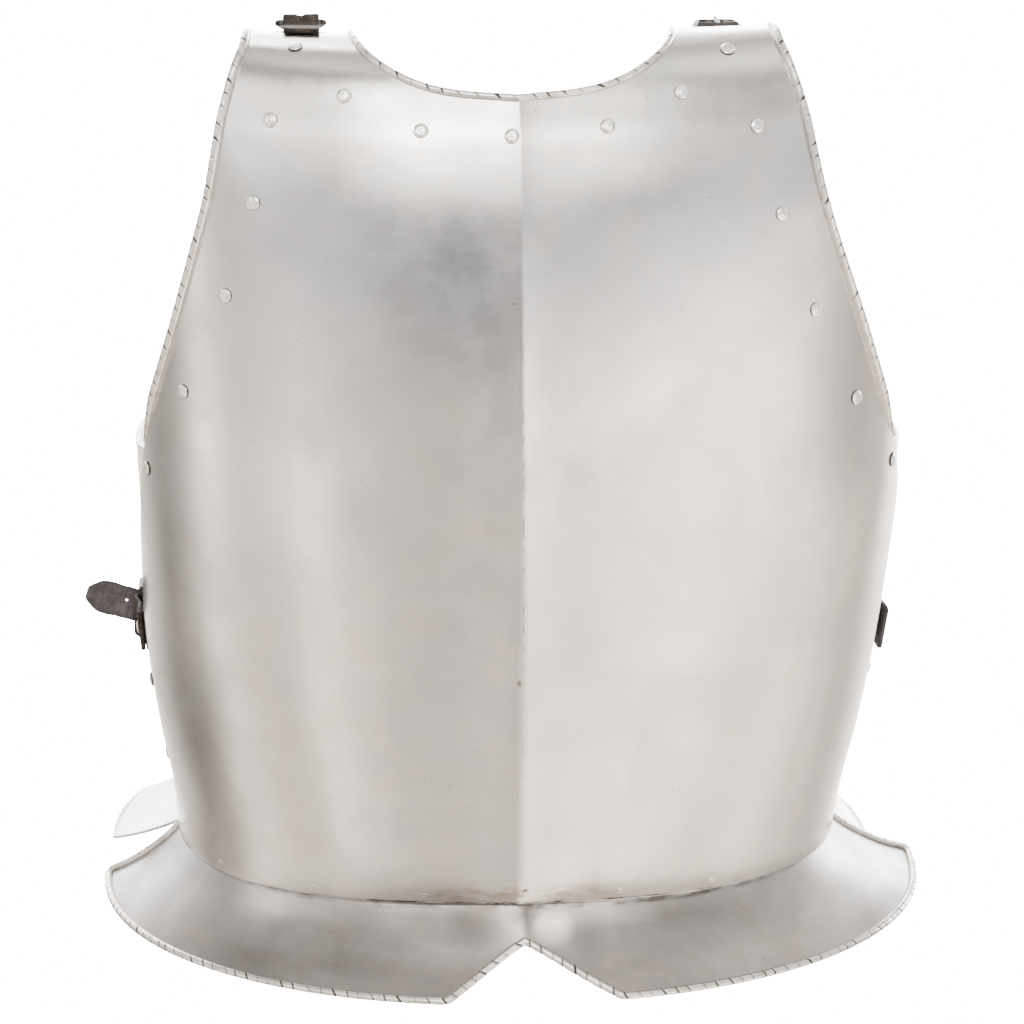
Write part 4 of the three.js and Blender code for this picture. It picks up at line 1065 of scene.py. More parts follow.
@dataclass
class FlaredPlate:
    """A plate that runs up under the breast plate and flares out below the waist."""

    torso: Torso
    flare: Flare

    def face(self, places: Array) -> Array:
        """Points of the outer face."""
        return self.flare.skin(self.torso, places)

    def set_back(self, places: Array, depth: float) -> Array:
        """Points at a depth behind the outer face."""
        return self.flare.point(self.torso, places, depth)

    def add_roll(self, name: str, roll: RopedRoll, line: Array) -> None:
        """Turn one of the plate's edges over as a roll."""
        place_piece(roll.build(name, line, self.set_back), Finish.ROLL, "root")

    @staticmethod
    def band(low: Array, high: Array, rows: int) -> Array:
        """The net between two lines of places."""
        return net_between(low, between(low[-1], high[-1], rows), high, between(low[0], high[0], rows))


@dataclass
class SkirtPlate(FlaredPlate):
    """The plate under the waist: a short flare in front with a V notch, its rim rolled."""

    flare: Flare = Flare(
        waist=(-90.5, 90.0), rim=(-91.5, 94.0),
        plan=Plan(left=212, right=217, front=172, side=60, rear=200, power=2.1), rim_z=1.7)
    tuck: float = 11.0
    notch_angle: float = 10.9
    notch_depth: float = 0.66
    side_columns: int = 110
    notch_columns: int = 24
    rows: int = 44
    tuck_rows: int = 8

    def build(self) -> None:
        """Build the sheet and its rolled rim."""
        rim_rise = self.flare.rim_rise
        apex_rise = -(self.flare.drop + self.flare.length * (1 - self.notch_depth))
        corners = np.array([
            [self.flare.waist[0], rim_rise], [-self.notch_angle, rim_rise], [0.0, apex_rise],
            [self.notch_angle, rim_rise], [self.flare.waist[1], rim_rise]])
        counts = (self.side_columns, self.notch_columns, self.notch_columns, self.side_columns)
        spans = [even_places(corners[i:i + 2], self.face, count) for i, count in enumerate(counts)]
        rim = np.vstack([spans[0], *[span[1:] for span in spans[1:]]])
        bend, waist, top = (level(rim, rise) for rise in (-self.flare.drop, 0.0, self.tuck))
        nets = [self.band(rim, bend, self.rows), self.band(bend, waist, BEND_ROWS),
                self.band(waist, top, self.tuck_rows)]
        sheet = lay_sheet("skirt_sheet", self.face, nets)
        for vert in sheet.data.vertices:
            vert.co.z = max(vert.co.z, 0.0)
        place_piece(sheet, Finish.SKIRT, "root", "skirt_plate")
        left_end = between(bend[0], rim[0], 20)
        right_end = between(rim[-1], bend[-1], 20)
        line = np.vstack([left_end, rim[1:], right_end[1:]])
        self.add_roll("skirt_roll", RopedRoll(SKIRT_ROLL, pitch=7.0, depth=0.5, ease=4), line)


@dataclass
class SidePlate(FlaredPlate):
    """A narrow plate under the breast plate's side edge, with its tab below the waist."""

    breast: BreastPlate
    side: Side
    rear_angle: float = 114.0
    lap_rise: tuple = (0, 15, 50, 100, 143, 170, 200)
    lap: tuple = (1.3, 1, 6, 7, 7, 7, 7)
    gap: float = 0.5
    seam_top: float = 229.0
    rear_top: float = 206.0
    columns: int = 60
    lap_columns: int = 12
    rows: int = 110
    flare_rows: int = 36

    def front(self, rise: Array) -> Array:
        """The front edge's angle without its sign."""
        return self.breast.seam_turn(self.side, rise) - smooth(self.lap_rise, self.lap, rise)

    def build(self) -> None:
        """Build the sheet and its rolled top and rim."""
        sign, word = self.side.value, self.side.word
        seam_angle = float(self.breast.seam_turn(self.side, self.seam_top))
        front_top = np.array([float(self.front(self.seam_top)), self.seam_top])
        seam_top = np.array([seam_angle + self.gap, self.seam_top])
        rear_top = np.array([self.rear_angle, self.rear_top])
        top = np.vstack([
            between(front_top, seam_top, self.lap_columns),
            between(seam_top, rear_top, self.columns)[1:]])
        share = np.linspace(0, 1, len(top))
        waist_angle = float(self.front(0.0)) * (1 - share) + self.rear_angle * share
        waist = np.stack([waist_angle, np.zeros(len(top))], -1)
        rises = np.linspace(0, self.seam_top, self.rows + 1)
        front = np.stack([self.front(rises), rises], -1)
        rear = between(waist[-1], top[-1], self.rows)
        bend, rim = level(waist, -self.flare.drop), level(waist, self.flare.rim_rise)
        nets = [
            self.band(rim, bend, self.flare_rows),
            self.band(bend, waist, BEND_ROWS),
            net_between(waist, rear, top, front),
        ]
        outline = {"top": between(seam_top, rear_top, 40)[::-1], "rim": rim}
        if self.side is Side.LEFT:
            nets = [net[:, ::-1] for net in nets]
            outline = {key: line[::-1] for key, line in outline.items()}
        for grid in (*nets, *outline.values()):
            grid[..., 0] *= sign
        sheet = lay_sheet(f"side_sheet_{word}", self.face, nets)
        place_piece(sheet, Finish.PLATE, "root", f"side_plate_{word}")
        top_roll = RopedRoll(SIDE_TOP_ROLL, lean=sign, slim_start=0.7, slim_end=0.7)
        self.add_roll(f"side_roll_{word}", top_roll, outline["top"])
        rim_roll = RopedRoll(TAB_ROLL, lean=sign, slim_start=0.6, slim_end=0.6)
        self.add_roll(f"tab_roll_{word}", rim_roll, outline["rim"])


# ---------------------------------------------------------------- rivets


@dataclass(frozen=True)
class Rivet:
    """A rivet: a low dome outside and a flatter peened tail inside."""

    head: float = 3.75
    dome: float = 1.3
    tail: float = 2.7
    peen: float = 0.9
    shank: float = 1.5
    steps: int = 40
    finish: Finish = Finish.RIVET

    def build(self, node: str, point: Array, normal: Array, through: float) -> None:
        """Build the rivet and set it in its place.

        Args:
            node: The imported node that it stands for.
            point: Where its axis meets the outer face.
            normal: The outward direction.
            through: The thickness that it holds together.
        """
        turn = np.linspace(0, math.pi / 2, 14)
        radius = self.head * np.cos(turn)
        # The snap leaves fine rings on the head.
        swirl = 0.09 * np.sin(radius * 2 * math.pi / 1.7) * (radius / self.head < 0.8)
        outside = np.stack([radius, 0.15 + self.dome * np.sin(turn) ** 0.8 + swirl], -1)
        foot = -through - 0.15
        inside = np.stack([self.tail * np.sin(turn), foot - self.peen * np.cos(turn)], -1)
        profile = np.vstack([
            inside, [[self.shank, foot], [self.shank, -0.1], [self.head * 0.97, -0.1]], outside])
        profile[0, 0] = profile[-1, 0] = 0.0
        bm = bmesh.new()
        verts = [bm.verts.new((r * MM, 0, z * MM)) for r, z in profile]
        edges = [bm.edges.new(pair) for pair in zip(verts, verts[1:])]
        bmesh.ops.spin(bm, geom=[*verts, *edges], cent=(0, 0, 0), axis=(0, 0, 1), dvec=(0, 0, 0),
                       angle=2 * math.pi, steps=self.steps, use_merge=True)
        bmesh.ops.remove_doubles(bm, verts=bm.verts, dist=WELD)
        bmesh.ops.recalc_face_normals(bm, faces=bm.faces)
        # The head's outer ring, where it meets the plate, is marked for painted shade.
        foot = bm.verts.layers.float.new("foot")
        for vert in bm.verts:
            vert[foot] = float(vert.co.to_2d().length > 0.95 * self.head * MM)
        stand_up(bm, point, normal)
        place_piece(make_piece(f"{node}_fine", bm, 50.0), self.finish, "root", node)


@dataclass
class RivetSet:
    """Every rivet on the plates themselves."""

    torso: Torso
    breast: BreastPlate
    alone: tuple = (
        ("rivet_neck_centre", -3.8, 410), ("rivet_neck_left_1", -47.8, 412.4),
        ("rivet_neck_left_2", -84.7, 429.3), ("rivet_neck_right_1", 43, 413.8),
        ("rivet_neck_right_2", 79.8, 429.5), ("rivet_arm_left_1", -120.7, 415),
        ("rivet_arm_left_2", -129.7, 373), ("rivet_arm_left_3", -144.1, 325),
        ("rivet_arm_left_4", -165.9, 271.5), ("rivet_arm_right_1", 117.1, 409.5),
        ("rivet_arm_right_2", 129.2, 364.6), ("rivet_arm_right_3", 146.8, 314.3),
        ("rivet_arm_right_4", 168.9, 264.5))
    seam: tuple = ((1, 222, 2.9), (2, 92, 3.2), (3, 44, 3.0))
    waist: tuple = (-58, -33, -12.5, 13.5, 31, 58)
    waist_rise: float = 5.5
    flush: Rivet = Rivet(head=2.2, dome=0.06, tail=2.3, peen=0.7, shank=1.3, finish=Finish.PLATE)

    def build(self) -> None:
        """Build them all."""
        for name, across, rise in self.alone:
            self.set_rivet(name, float(self.torso.angle_across(across, rise)), rise, SHEET)
        for side in Side:
            for row, rise, inset in self.seam:
                angle = side.value * (float(self.breast.seam_turn(side, rise)) - inset)
                self.set_rivet(f"rivet_side_{side.word}_{row}", angle, rise, SHEET + LAP_INSET)
        for i, angle in enumerate(self.waist):
            self.set_rivet(
                f"rivet_waist_{i + 1}", angle, self.waist_rise, SHEET + LAP_INSET, self.flush)

    def set_rivet(self, node: str, angle: float, rise: float, through: float,
                  kind: Rivet = Rivet()) -> None:
        """Set one rivet through the plates at a place."""
        place = np.array([[angle, rise]])
        kind.build(node, self.torso.skin(place)[0], self.torso.normal(place)[0], through)


# ---------------------------------------------------------------- leather

LEATHER = 2.4  # thickness of the chapes
WIRE = 1.5  # radius of the buckles' wire
BAR_PLAY = 0.4  # room between a buckle's bar and what wraps it
FOLD = WIRE + BAR_PLAY + LEATHER / 2  # radius of a fold's middle line
SLOT_WIDTH = 4.4


def fold_round(bar: Array, aside: Sequence[float]) -> Array:
    """The middle line of leather that runs back round a bar and comes out on one side of it."""
    turn = np.linspace(-math.pi / 2, math.pi / 2, 7)[:, None]
    return bar + FOLD * (np.cos(turn) * np.array([0, 1.0, 0]) + np.sin(turn) * np.array(aside))


@dataclass(frozen=True)
class Ribbon:
    """A strip of leather along a line, with rounded cut edges."""

    thick: float
    corner: float = 0.7
    flat_steps: int = 8
    corner_steps: int = 5
    step: float = 0.8
    smoothing: int = 8  # samples in each span before it is measured
    inset: float = 0.08  # share of the half width that the rounded edge takes

    def build(self, name: str, points: Array, across: Array, widths: Array) -> bpy.types.Object:
        """Build the strip.

        Args:
            name: The piece's name.
            points: The middle line's stations.
            across: The direction of the width at each station.
            widths: The width at each station.

        Returns:
            The piece.
        """
        values = np.hstack([points, across, np.asarray(widths, float)[:, None]])
        dense = spline(values, self.smoothing)
        count = int(run_length(dense[:, :3])[-1] / self.step)
        line, rest = resample(dense[:, :3], count, dense[:, 3:])
        line = ease_line(line, 2)
        side = unit(rest[:, :3])
        normal = unit(np.cross(np.gradient(line, axis=0), side))
        run = run_length(line)
        soft = rounded_ends(run, self.corner, 0.05)
        wobble = 0.12 * np.sin(run * 0.31) + 0.08 * np.sin(run * 0.83 + 2)
        half = rest[:, 3] / 2 + wobble - self.corner * (1 - soft)
        high = self.thick / 2 * (0.45 + 0.55 * soft)
        u, v, rim = self.section()
        across_mm = u[None] * half[:, None]
        rows = (line[:, None] + across_mm[..., None] * side[:, None]
                + (v[None] * high[:, None])[..., None] * normal[:, None])
        marks = {
            "rim": np.broadcast_to(rim, across_mm.shape),
            "along": np.broadcast_to(run[:, None] * MM, across_mm.shape),
            "across": across_mm * MM,
        }
        return loft(name, rows, marks=marks, sharp=60.0)

    def section(self) -> tuple[Array, Array, Array]:
        """One section: shares of the half width and half thickness, and how far it is rim."""
        turn = np.linspace(0, math.pi / 2, self.corner_steps)
        reach = 1 - self.inset
        u = reach + self.inset * np.sin(turn)
        v = np.cos(turn)
        edge = np.linspace(1, 0.3, self.corner_steps)
        flat = np.linspace(-reach, reach, self.flat_steps + 2)[1:-1]
        upper_u = np.array([*-u[::-1], *flat, *u])
        upper_v = np.array([*v[::-1], *np.ones(self.flat_steps), *v])
        rim = np.array([*edge, *np.zeros(self.flat_steps), *edge[::-1]])
        whole_u, whole_v, whole_rim = (
            np.concatenate([upper, sign * upper[::-1][1:-1]])
            for upper, sign in ((upper_u, 1), (upper_v, -1), (rim, 1)))
        return whole_u, whole_v, whole_rim


def bore(name: str, centre: Array, axis: Array, radius: float, length: float) -> bpy.types.Object:
    """A round cutter."""
    bm = bmesh.new()
    bmesh.ops.create_circle(bm, cap_ends=True, radius=radius * MM, segments=28)
    made = bmesh.ops.extrude_face_region(bm, geom=bm.faces[:])
    top = [item for item in made["geom"] if isinstance(item, bmesh.types.BMVert)]
    bmesh.ops.translate(bm, verts=top, vec=(0, 0, length * MM))
    bmesh.ops.translate(bm, verts=bm.verts, vec=(0, 0, -length * MM / 2))
    bmesh.ops.recalc_face_normals(bm, faces=bm.faces)
    stand_up(bm, centre, axis)
    return make_piece(name, bm)


def slot_cutter(name: str, centre: Array, size: tuple[float, float, float]) -> bpy.types.Object:
    """A slot-shaped cutter with rounded upright edges."""
    bm = bmesh.new()
    bmesh.ops.create_cube(bm, size=1.0)
    bmesh.ops.scale(bm, vec=Vector(size) * MM, verts=bm.verts)
    thin = int(np.argsort(size)[0])
    long = int(np.argsort(size)[1])
    depth = 3 - thin - long
    upright = [edge for edge in bm.edges
               if abs((edge.verts[0].co - edge.verts[1].co)[depth]) > 0.5 * size[depth] * MM]
    bmesh.ops.bevel(bm, geom=upright, offset=size[thin] * 0.45 * MM, affect="EDGES", segments=6,
                    profile=0.5, material=-1)
    bmesh.ops.translate(bm, verts=bm.verts, vec=centre * MM)
    return make_piece(name, bm)


@dataclass(frozen=True)
class BuckleShape:
    """A wire buckle: its near bar on local x, its far bar at y = reach."""

    inner: float
    reach: float
    taper: float
    corner: float = 3.0
    prong: float = 1.3  # thickness of the tongue where it wraps the bar
    overhang: float = 2.4  # how far the tongue reaches past the far bar

    def build(self, names: str, stand: Matrix, frame_body: str, tongue_body: str) -> None:
        """Build the frame and the tongue.

        Args:
            names: How this buckle's pieces and nodes are named, with a gap for the word.
            stand: Brings the near bar to its place.
            frame_body: The body that the frame rides on.
            tongue_body: The body that the tongue rides on.
        """
        for word, node, make, body in (("wire", "buckle", self.frame, frame_body),
                                       ("pin", "tongue", self.tongue, tongue_body)):
            piece = make(names.format(word))
            piece.data.transform(stand)
            place_piece(piece, Finish.IRON, body, names.format(node))

    def outline(self) -> Array:
        """The wire's middle line."""
        near = self.inner / 2 + WIRE
        far = near - self.taper
        corners = np.array([[-near, 0], [near, 0], [far, self.reach], [-far, self.reach]], float)
        line = []
        for i, here in enumerate(corners):
            to_before = unit(corners[i - 1] - here)
            to_after = unit(corners[(i + 1) % 4] - here)
            t = np.linspace(0, 1, 10)[:, None]
            a, b = here + to_before * self.corner, here + to_after * self.corner
            line.append((1 - t) ** 2 * a + 2 * t * (1 - t) * here + t * t * b)
        points = np.vstack([*line, line[0][:1]])
        return resample(points, 150)[0][:-1]

    def frame(self, name: str) -> bpy.types.Object:
        """Bend the wire into the frame."""
        outline = self.outline()
        tangent = unit(np.roll(outline, -1, 0) - np.roll(outline, 1, 0))
        side = np.stack([tangent[:, 1], -tangent[:, 0], np.zeros(len(outline))], -1)
        centre = np.column_stack([outline, np.zeros(len(outline))])
        turn = np.linspace(0, 2 * math.pi, 20, endpoint=False)[None, :, None]
        place = np.linspace(0, 2 * math.pi, len(outline), endpoint=False)
        radius = WIRE * (1 + 0.03 * np.sin(5 * place + 0.4) + 0.02 * np.sin(11 * place))
        rows = centre[:, None] + radius[:, None, None] * (
            np.cos(turn) * side[:, None] + np.sin(turn) * np.array([0, 0, 1.0]))
        return loft(name, rows, ring=True, sharp=80.0)

    def tongue(self, name: str) -> bpy.types.Object:
        """Wrap the tongue round the near bar and lay it on the far bar."""
        ring_mid = WIRE + BAR_PLAY + self.prong / 2
        turn = np.radians(np.linspace(38, -270, 60))
        ring = np.stack([ring_mid * np.cos(turn), ring_mid * np.sin(turn)], -1)
        tip_y = self.reach + self.overhang
        ahead = np.linspace(0.8, tip_y, 60)
        lift = WIRE + TOUCH + 0.75 - 0.18 * np.clip((ahead - tip_y + 4) / 4, 0, 1)
        settle_in = np.clip(ahead / 4, 0, 1)
        pin = np.stack([ahead, ring_mid * (1 - settle_in) + lift * settle_in], -1)
        line = resample(np.vstack([ring, pin]), 150)[0]
        tangent = unit(np.gradient(line, axis=0))
        normal = np.stack([-tangent[:, 1], tangent[:, 0]], -1)
        run = run_length(line) / run_length(line)[-1]
        thick = np.interp(run, [0, 0.35, 0.5, 0.95, 1], [0.62, 0.62, 0.8, 0.62, 0.3])
        half = np.interp(run, [0, 0.35, 0.9, 1], [1.5, 1.5, 1.1, 0.5])
        around = np.linspace(0, 2 * math.pi, 20, endpoint=False)
        u, v = (np.sign(part) * np.abs(part) ** 0.6 for part in (np.cos(around), np.sin(around)))
        rows = np.zeros((len(line), len(around), 3))
        rows[..., 0] = half[:, None] * u[None]
        rows[..., 1:] = line[:, None] + (thick[:, None] * v[None])[..., None] * normal[:, None]
        return loft(name, rows, sharp=60.0)


@dataclass
class ShoulderFitting:
    """A shoulder's leather chape with its buckle and tongue."""

    torso: Torso
    side: Side
    across: float
    width: float
    rivet: tuple[float, float]
    bar: tuple[float, float]
    droop: float
    top_rise: float | None
    buckle: BuckleShape
    slot_front: float = 1.0
    slot_rear: float = 9.5

    def on_plate(self, rises: Array, depth: float) -> tuple[Array, Array]:
        """Stations on the torso: their points and the direction of the leather's width."""
        places = np.stack([self.torso.angle_across(self.across, rises), rises], -1)
        step = np.array([ANGLE_STEP, 0.0])
        across = unit(self.torso.skin(places + step) - self.torso.skin(places - step))
        return self.torso.point(places, depth), across

    def build(self) -> None:
        """Build the leather, its rivet, the buckle and the tongue."""
        word = self.side.word
        layer = LEATHER + TOUCH
        near, far = self.rivet[1] - 8, SHOULDER_RISE + 1.5
        low_depth = SHEET + 2 * TOUCH + LEATHER / 2 + (0 if self.top_rise else layer)
        under = self.on_plate(np.linspace(near, far, 5), low_depth)
        bar = np.array([self.across, *self.bar]) + self.torso.shift
        fold = fold_round(bar, (0, 0, 1.0))
        if self.top_rise:
            back = self.on_plate(np.linspace(far, self.top_rise, 3), -2 * TOUCH - LEATHER / 2)
        else:
            back = self.on_plate(np.linspace(far, near, 5), low_depth - layer)
        points = np.vstack([under[0], fold, back[0]])
        across = np.vstack([under[1], np.tile([1.0, 0, 0], (len(fold), 1)), back[1]])
        leather = Ribbon(LEATHER).build(f"shoulder_leather_{word}", points, across,
                                        np.full(len(points), self.width))
        centre = bar + np.array([0, (self.slot_rear - self.slot_front) / 2, 0])
        slot = (SLOT_WIDTH, self.slot_front + self.slot_rear, 6 * FOLD)
        carve(leather, [slot_cutter("slot", centre, slot)])
        place_piece(leather, Finish.LEATHER, "root", f"shoulder_chape_{word}")
        stand = Matrix.Translation(Vector(bar * MM))
        stand = stand @ Matrix.Rotation(math.radians(-self.droop), 4, "X")
        self.buckle.build(f"shoulder_{{}}_{word}", stand, f"buckle_{word}", f"tongue_{word}")
        place = np.array([[float(self.torso.angle_across(*self.rivet)), self.rivet[1]]])
        layers = 1 if self.top_rise else 2
        through = SHEET + layers * (LEATHER + 2 * TOUCH) - TOUCH
        Rivet().build(f"rivet_shoulder_{word}", self.torso.skin(place)[0],
                      self.torso.normal(place)[0], through)


# ---------------------------------------------------------------- the waist strap


@dataclass
class WaistStrap:
    """The waist strap with its side buckle, on the level line round the torso that it follows."""

    torso: Torso
    level_z: float = 153.0
    thick: float = 2.2
    width: float = 18.0
    anchor: tuple = ((84.8, 2.6, 20), (85.6, 2.2, 24), (87.2, 1.2, 24), (88.8, 0.2, 24),
                     (90.4, -1, 23), (92, -1.9, 21.5), (94.5, -1.95, 18.5))
    rivet_angle: float = 92.6
    right_angles: tuple = (97, 100, 103, 106, 109, 111)
    left_angles: tuple = (-111, -109, -106, -103, -100.5)
    back: tuple = ((166, 144, 152.5), (112, 172, 150.5), (40, 184, 149),
                   (-40, 184, 149), (-112, 172, 150.5), (-166, 144, 152.5))
    free_end: tuple = (
        (-187.3, 71.5, 153.1, 18, 0.2), (-188.2, 66.6, 153.4, 18, 0.4), (-190, 63.6, 153.8, 18, 0.6),
        (-192.6, 61.6, 154.6, 18, 0.8), (-196, 60.8, 155.6, 18, 1), (-204, 60.6, 158, 18, 1),
        (-212, 60, 160.6, 18, 1), (-216.5, 58.8, 162.2, 14, 1), (-220.5, 57.2, 163.8, 7, 1))
    free_rise: float = 16.0
    free_y: float = 60.7
    holes: tuple = ((-194.4, 153.5, 1.6), (-199.8, 158.2, 0.8))
    buckle: BuckleShape = BuckleShape(25, 20, 1)
    bar_y: float = 50.0
    bar_z: float = 153.5
    chape_width: float = 22.0
    chape_front: float = 26.0
    chape_rivet: float = 34.0
    slot_length: float = 17.0

    def plan(self, z: float) -> Plan:
        """The torso's plan at a level."""
        front_y, _ = self.torso.ridge_at(z - self.torso.waist_z)
        return self.torso.plan(z, front_y)

    def angle_at(self, y: float, z: float) -> float:
        """The angle, without its sign, at which the torso's side has this y."""
        plan = self.plan(z)
        ahead = float(plan.side) - y
        share = abs(ahead) / float(plan.front if ahead > 0 else plan.rear)
        return math.degrees(math.acos(math.copysign(share ** (plan.power / 2), ahead)))

    def station(self, angle: float, z: float, stand_off: float) -> tuple[Array, Array, Array]:
        """A station on the torso's side.

        Args:
            angle: Degrees round the torso.
            z: The level.
            stand_off: How far out from the torso's skin it is.

        Returns:
            Its point, the upward direction along the skin and the outward direction.
        """
        def at(turn: float, height: float) -> Array:
            x, y = self.plan(height).at(np.array(turn))
            return np.array([float(x), float(y), height])
        around = at(angle + ANGLE_STEP, z) - at(angle - ANGLE_STEP, z)
        upward = unit(at(angle, z + 4) - at(angle, z - 4))
        out = unit(np.cross(around, upward))
        return at(angle, z) + out * stand_off + self.torso.shift, upward, out

    def build(self) -> None:
        """Build the strap, the chape, the buckle and their rivets."""
        self.build_strap()
        self.build_chape()

    def build_strap(self) -> None:
        """Build the strap from its riveted end round the back to its free end."""
        on_plate = -LAP_INSET + TOUCH + CURVE_ROOM + self.thick / 2
        on_breast = TOUCH + self.thick / 2
        rows = []
        for angle, lift, width in self.anchor:
            point, up, _ = self.station(angle, self.level_z, on_breast + lift)
            rows.append((point, up, width))
        for angle in self.right_angles:
            point, up, _ = self.station(angle, self.level_z, on_plate)
            rows.append((point, up, self.width))
        left = [self.station(angle, self.level_z, on_plate)[:2] for angle in self.left_angles]
        right_up, left_up = rows[-1][1], left[0][1]
        shift = self.torso.shift
        tie = [rows[-2][0], rows[-1][0], *(np.array(self.back) + shift), left[0][0], left[1][0]]
        loop = resample(spline(np.array(tie), 30), 60)[0]
        loop = loop[loop[:, 1] > rows[-1][0][1] + 6]
        for share, point in zip(np.linspace(0, 1, len(loop)), loop):
            # Off the plates the strap turns upright.
            twist = max(1 - share * 8, 1 - (1 - share) * 8, 0)
            lean = right_up if share < 0.5 else left_up
            rows.append((point, unit(np.array([0, 0, 1.0]) * (1 - twist) + lean * twist), self.width))
        rows += [(point, up, self.width) for point, up in left]
        tilt = math.radians(self.free_rise)
        raised = np.array([math.sin(tilt), 0, math.cos(tilt)])
        for *point, width, turn in self.free_end:
            rows.append((np.array(point) + shift, unit(left_up * (1 - turn) + raised * turn), width))
        points, across, widths = (np.array(column) for column in zip(*rows))
        strap = Ribbon(self.thick).build("waist_strap_leather", points, across, widths)
        carve(strap, [
            bore("hole", np.array([x, self.free_y, z]) + shift, np.array([0, 1.0, 0]), radius, 9)
            for x, z, radius in self.holes])
        place_piece(strap, Finish.WORN_LEATHER, "root", "waist_strap")
        top = -LAP_INSET + TOUCH + CURVE_ROOM + self.thick
        point, _, out = self.station(self.rivet_angle, self.level_z, top)
        Rivet().build("rivet_strap", point, out, top + LAP_INSET + SHEET)

    def build_chape(self) -> None:
        """Build the side buckle and the leather that holds it."""
        low = -LAP_INSET + TOUCH + CURVE_ROOM + LEATHER / 2
        bar_angle = -self.angle_at(self.bar_y, self.bar_z)
        bar, _, _ = self.station(bar_angle, self.bar_z, low + FOLD)
        under = [self.station(-self.angle_at(y, self.bar_z), self.bar_z, low)[:2]
                 for y in np.linspace(self.chape_front, self.bar_y - 5, 4)]
        over = [self.station(-self.angle_at(y, self.bar_z), self.bar_z, low + LEATHER + TOUCH)[:2]
                for y in np.linspace(self.bar_y - 8, self.chape_front - 1, 4)]
        bar = np.array([bar[0], self.bar_y + self.torso.centre[1], self.bar_z])
        fold = fold_round(bar, (-1.0, 0, 0))
        upright = np.tile([0, 0, 1.0], (len(fold), 1))
        points = np.vstack([[p for p, _ in under], fold, [p for p, _ in over]])
        across = np.vstack([[u for _, u in under], upright, [u for _, u in over]])
        leather = Ribbon(LEATHER).build("side_leather", points, across,
                                        np.full(len(points), self.chape_width))
        slot = (6 * FOLD, self.slot_length, SLOT_WIDTH)
        carve(leather, [slot_cutter("slot", bar + np.array([0, 1.0, 0]), slot)])
        place_piece(leather, Finish.LEATHER, "root", "side_chape")
        basis = Matrix(((0, 0, -1, 0), (0, 1, 0, 0), (1, 0, 0, 0), (0, 0, 0, 1)))
        stand = Matrix.Translation(Vector(bar * MM)) @ basis
        self.buckle.build("side_{}", stand, "root", "root")
        top = -LAP_INSET + CURVE_ROOM + 2 * (LEATHER + TOUCH)
        point, _, out = self.station(-self.angle_at(self.chape_rivet, self.bar_z), self.bar_z, top)
        Rivet().build("rivet_chape_side", point, out, top + LAP_INSET + SHEET)


# ---------------------------------------------------------------- the studio


@dataclass(frozen=True)
class FloorPaint(Recipe):
    """Matte paint on a studio floor, washed out to white where the camera sees it."""

    tone: str
    glow: float

    def lay(self, tree: Tree, place: Socket) -> Inputs:
        """Lay out the nodes."""
        seen = add_node(tree, "LightPath", out="Is Camera Ray")
        glow = add_node(tree, "Math", (seen, self.glow), operation="MULTIPLY")
        return {"Base Color": linear(self.tone), "Roughness": 0.9,
                "Emission Color": (1, 1, 1, 1), "Emission Strength": glow}


@dataclass(frozen=True)
class SoftBox:
    """A rectangular soft light that faces a point."""

    name: str
    place: tuple[float, float, float]
    aim: tuple[float, float, float]
    size: tuple[float, float]
    power: float

    def build(self) -> None:
        """Hang the light."""
        lamp = bpy.data.lights.new(self.name, "AREA")
        lamp.shape = "RECTANGLE"
        lamp.size, lamp.size_y = self.size
        lamp.energy = self.power
        light = bpy.data.objects.new(self.name, lamp)
        light.location = self.place
        light.visible_glossy = False
        direction = Vector(self.aim) - Vector(self.place)
        light.rotation_euler = direction.to_track_quat("-Z", "Y").to_euler()
        bpy.context.scene.collection.objects.link(light)


@dataclass(frozen=True)
class LightBelt:
    """A belt of soft surroundings at one height, brighter and darker around the object.

    Each stop is a bearing in degrees, 0 in front and positive to the right, and a brightness.
    """

    rise: float
    tint: tuple[float, float, float]
    stops: tuple[tuple[float, float], ...]


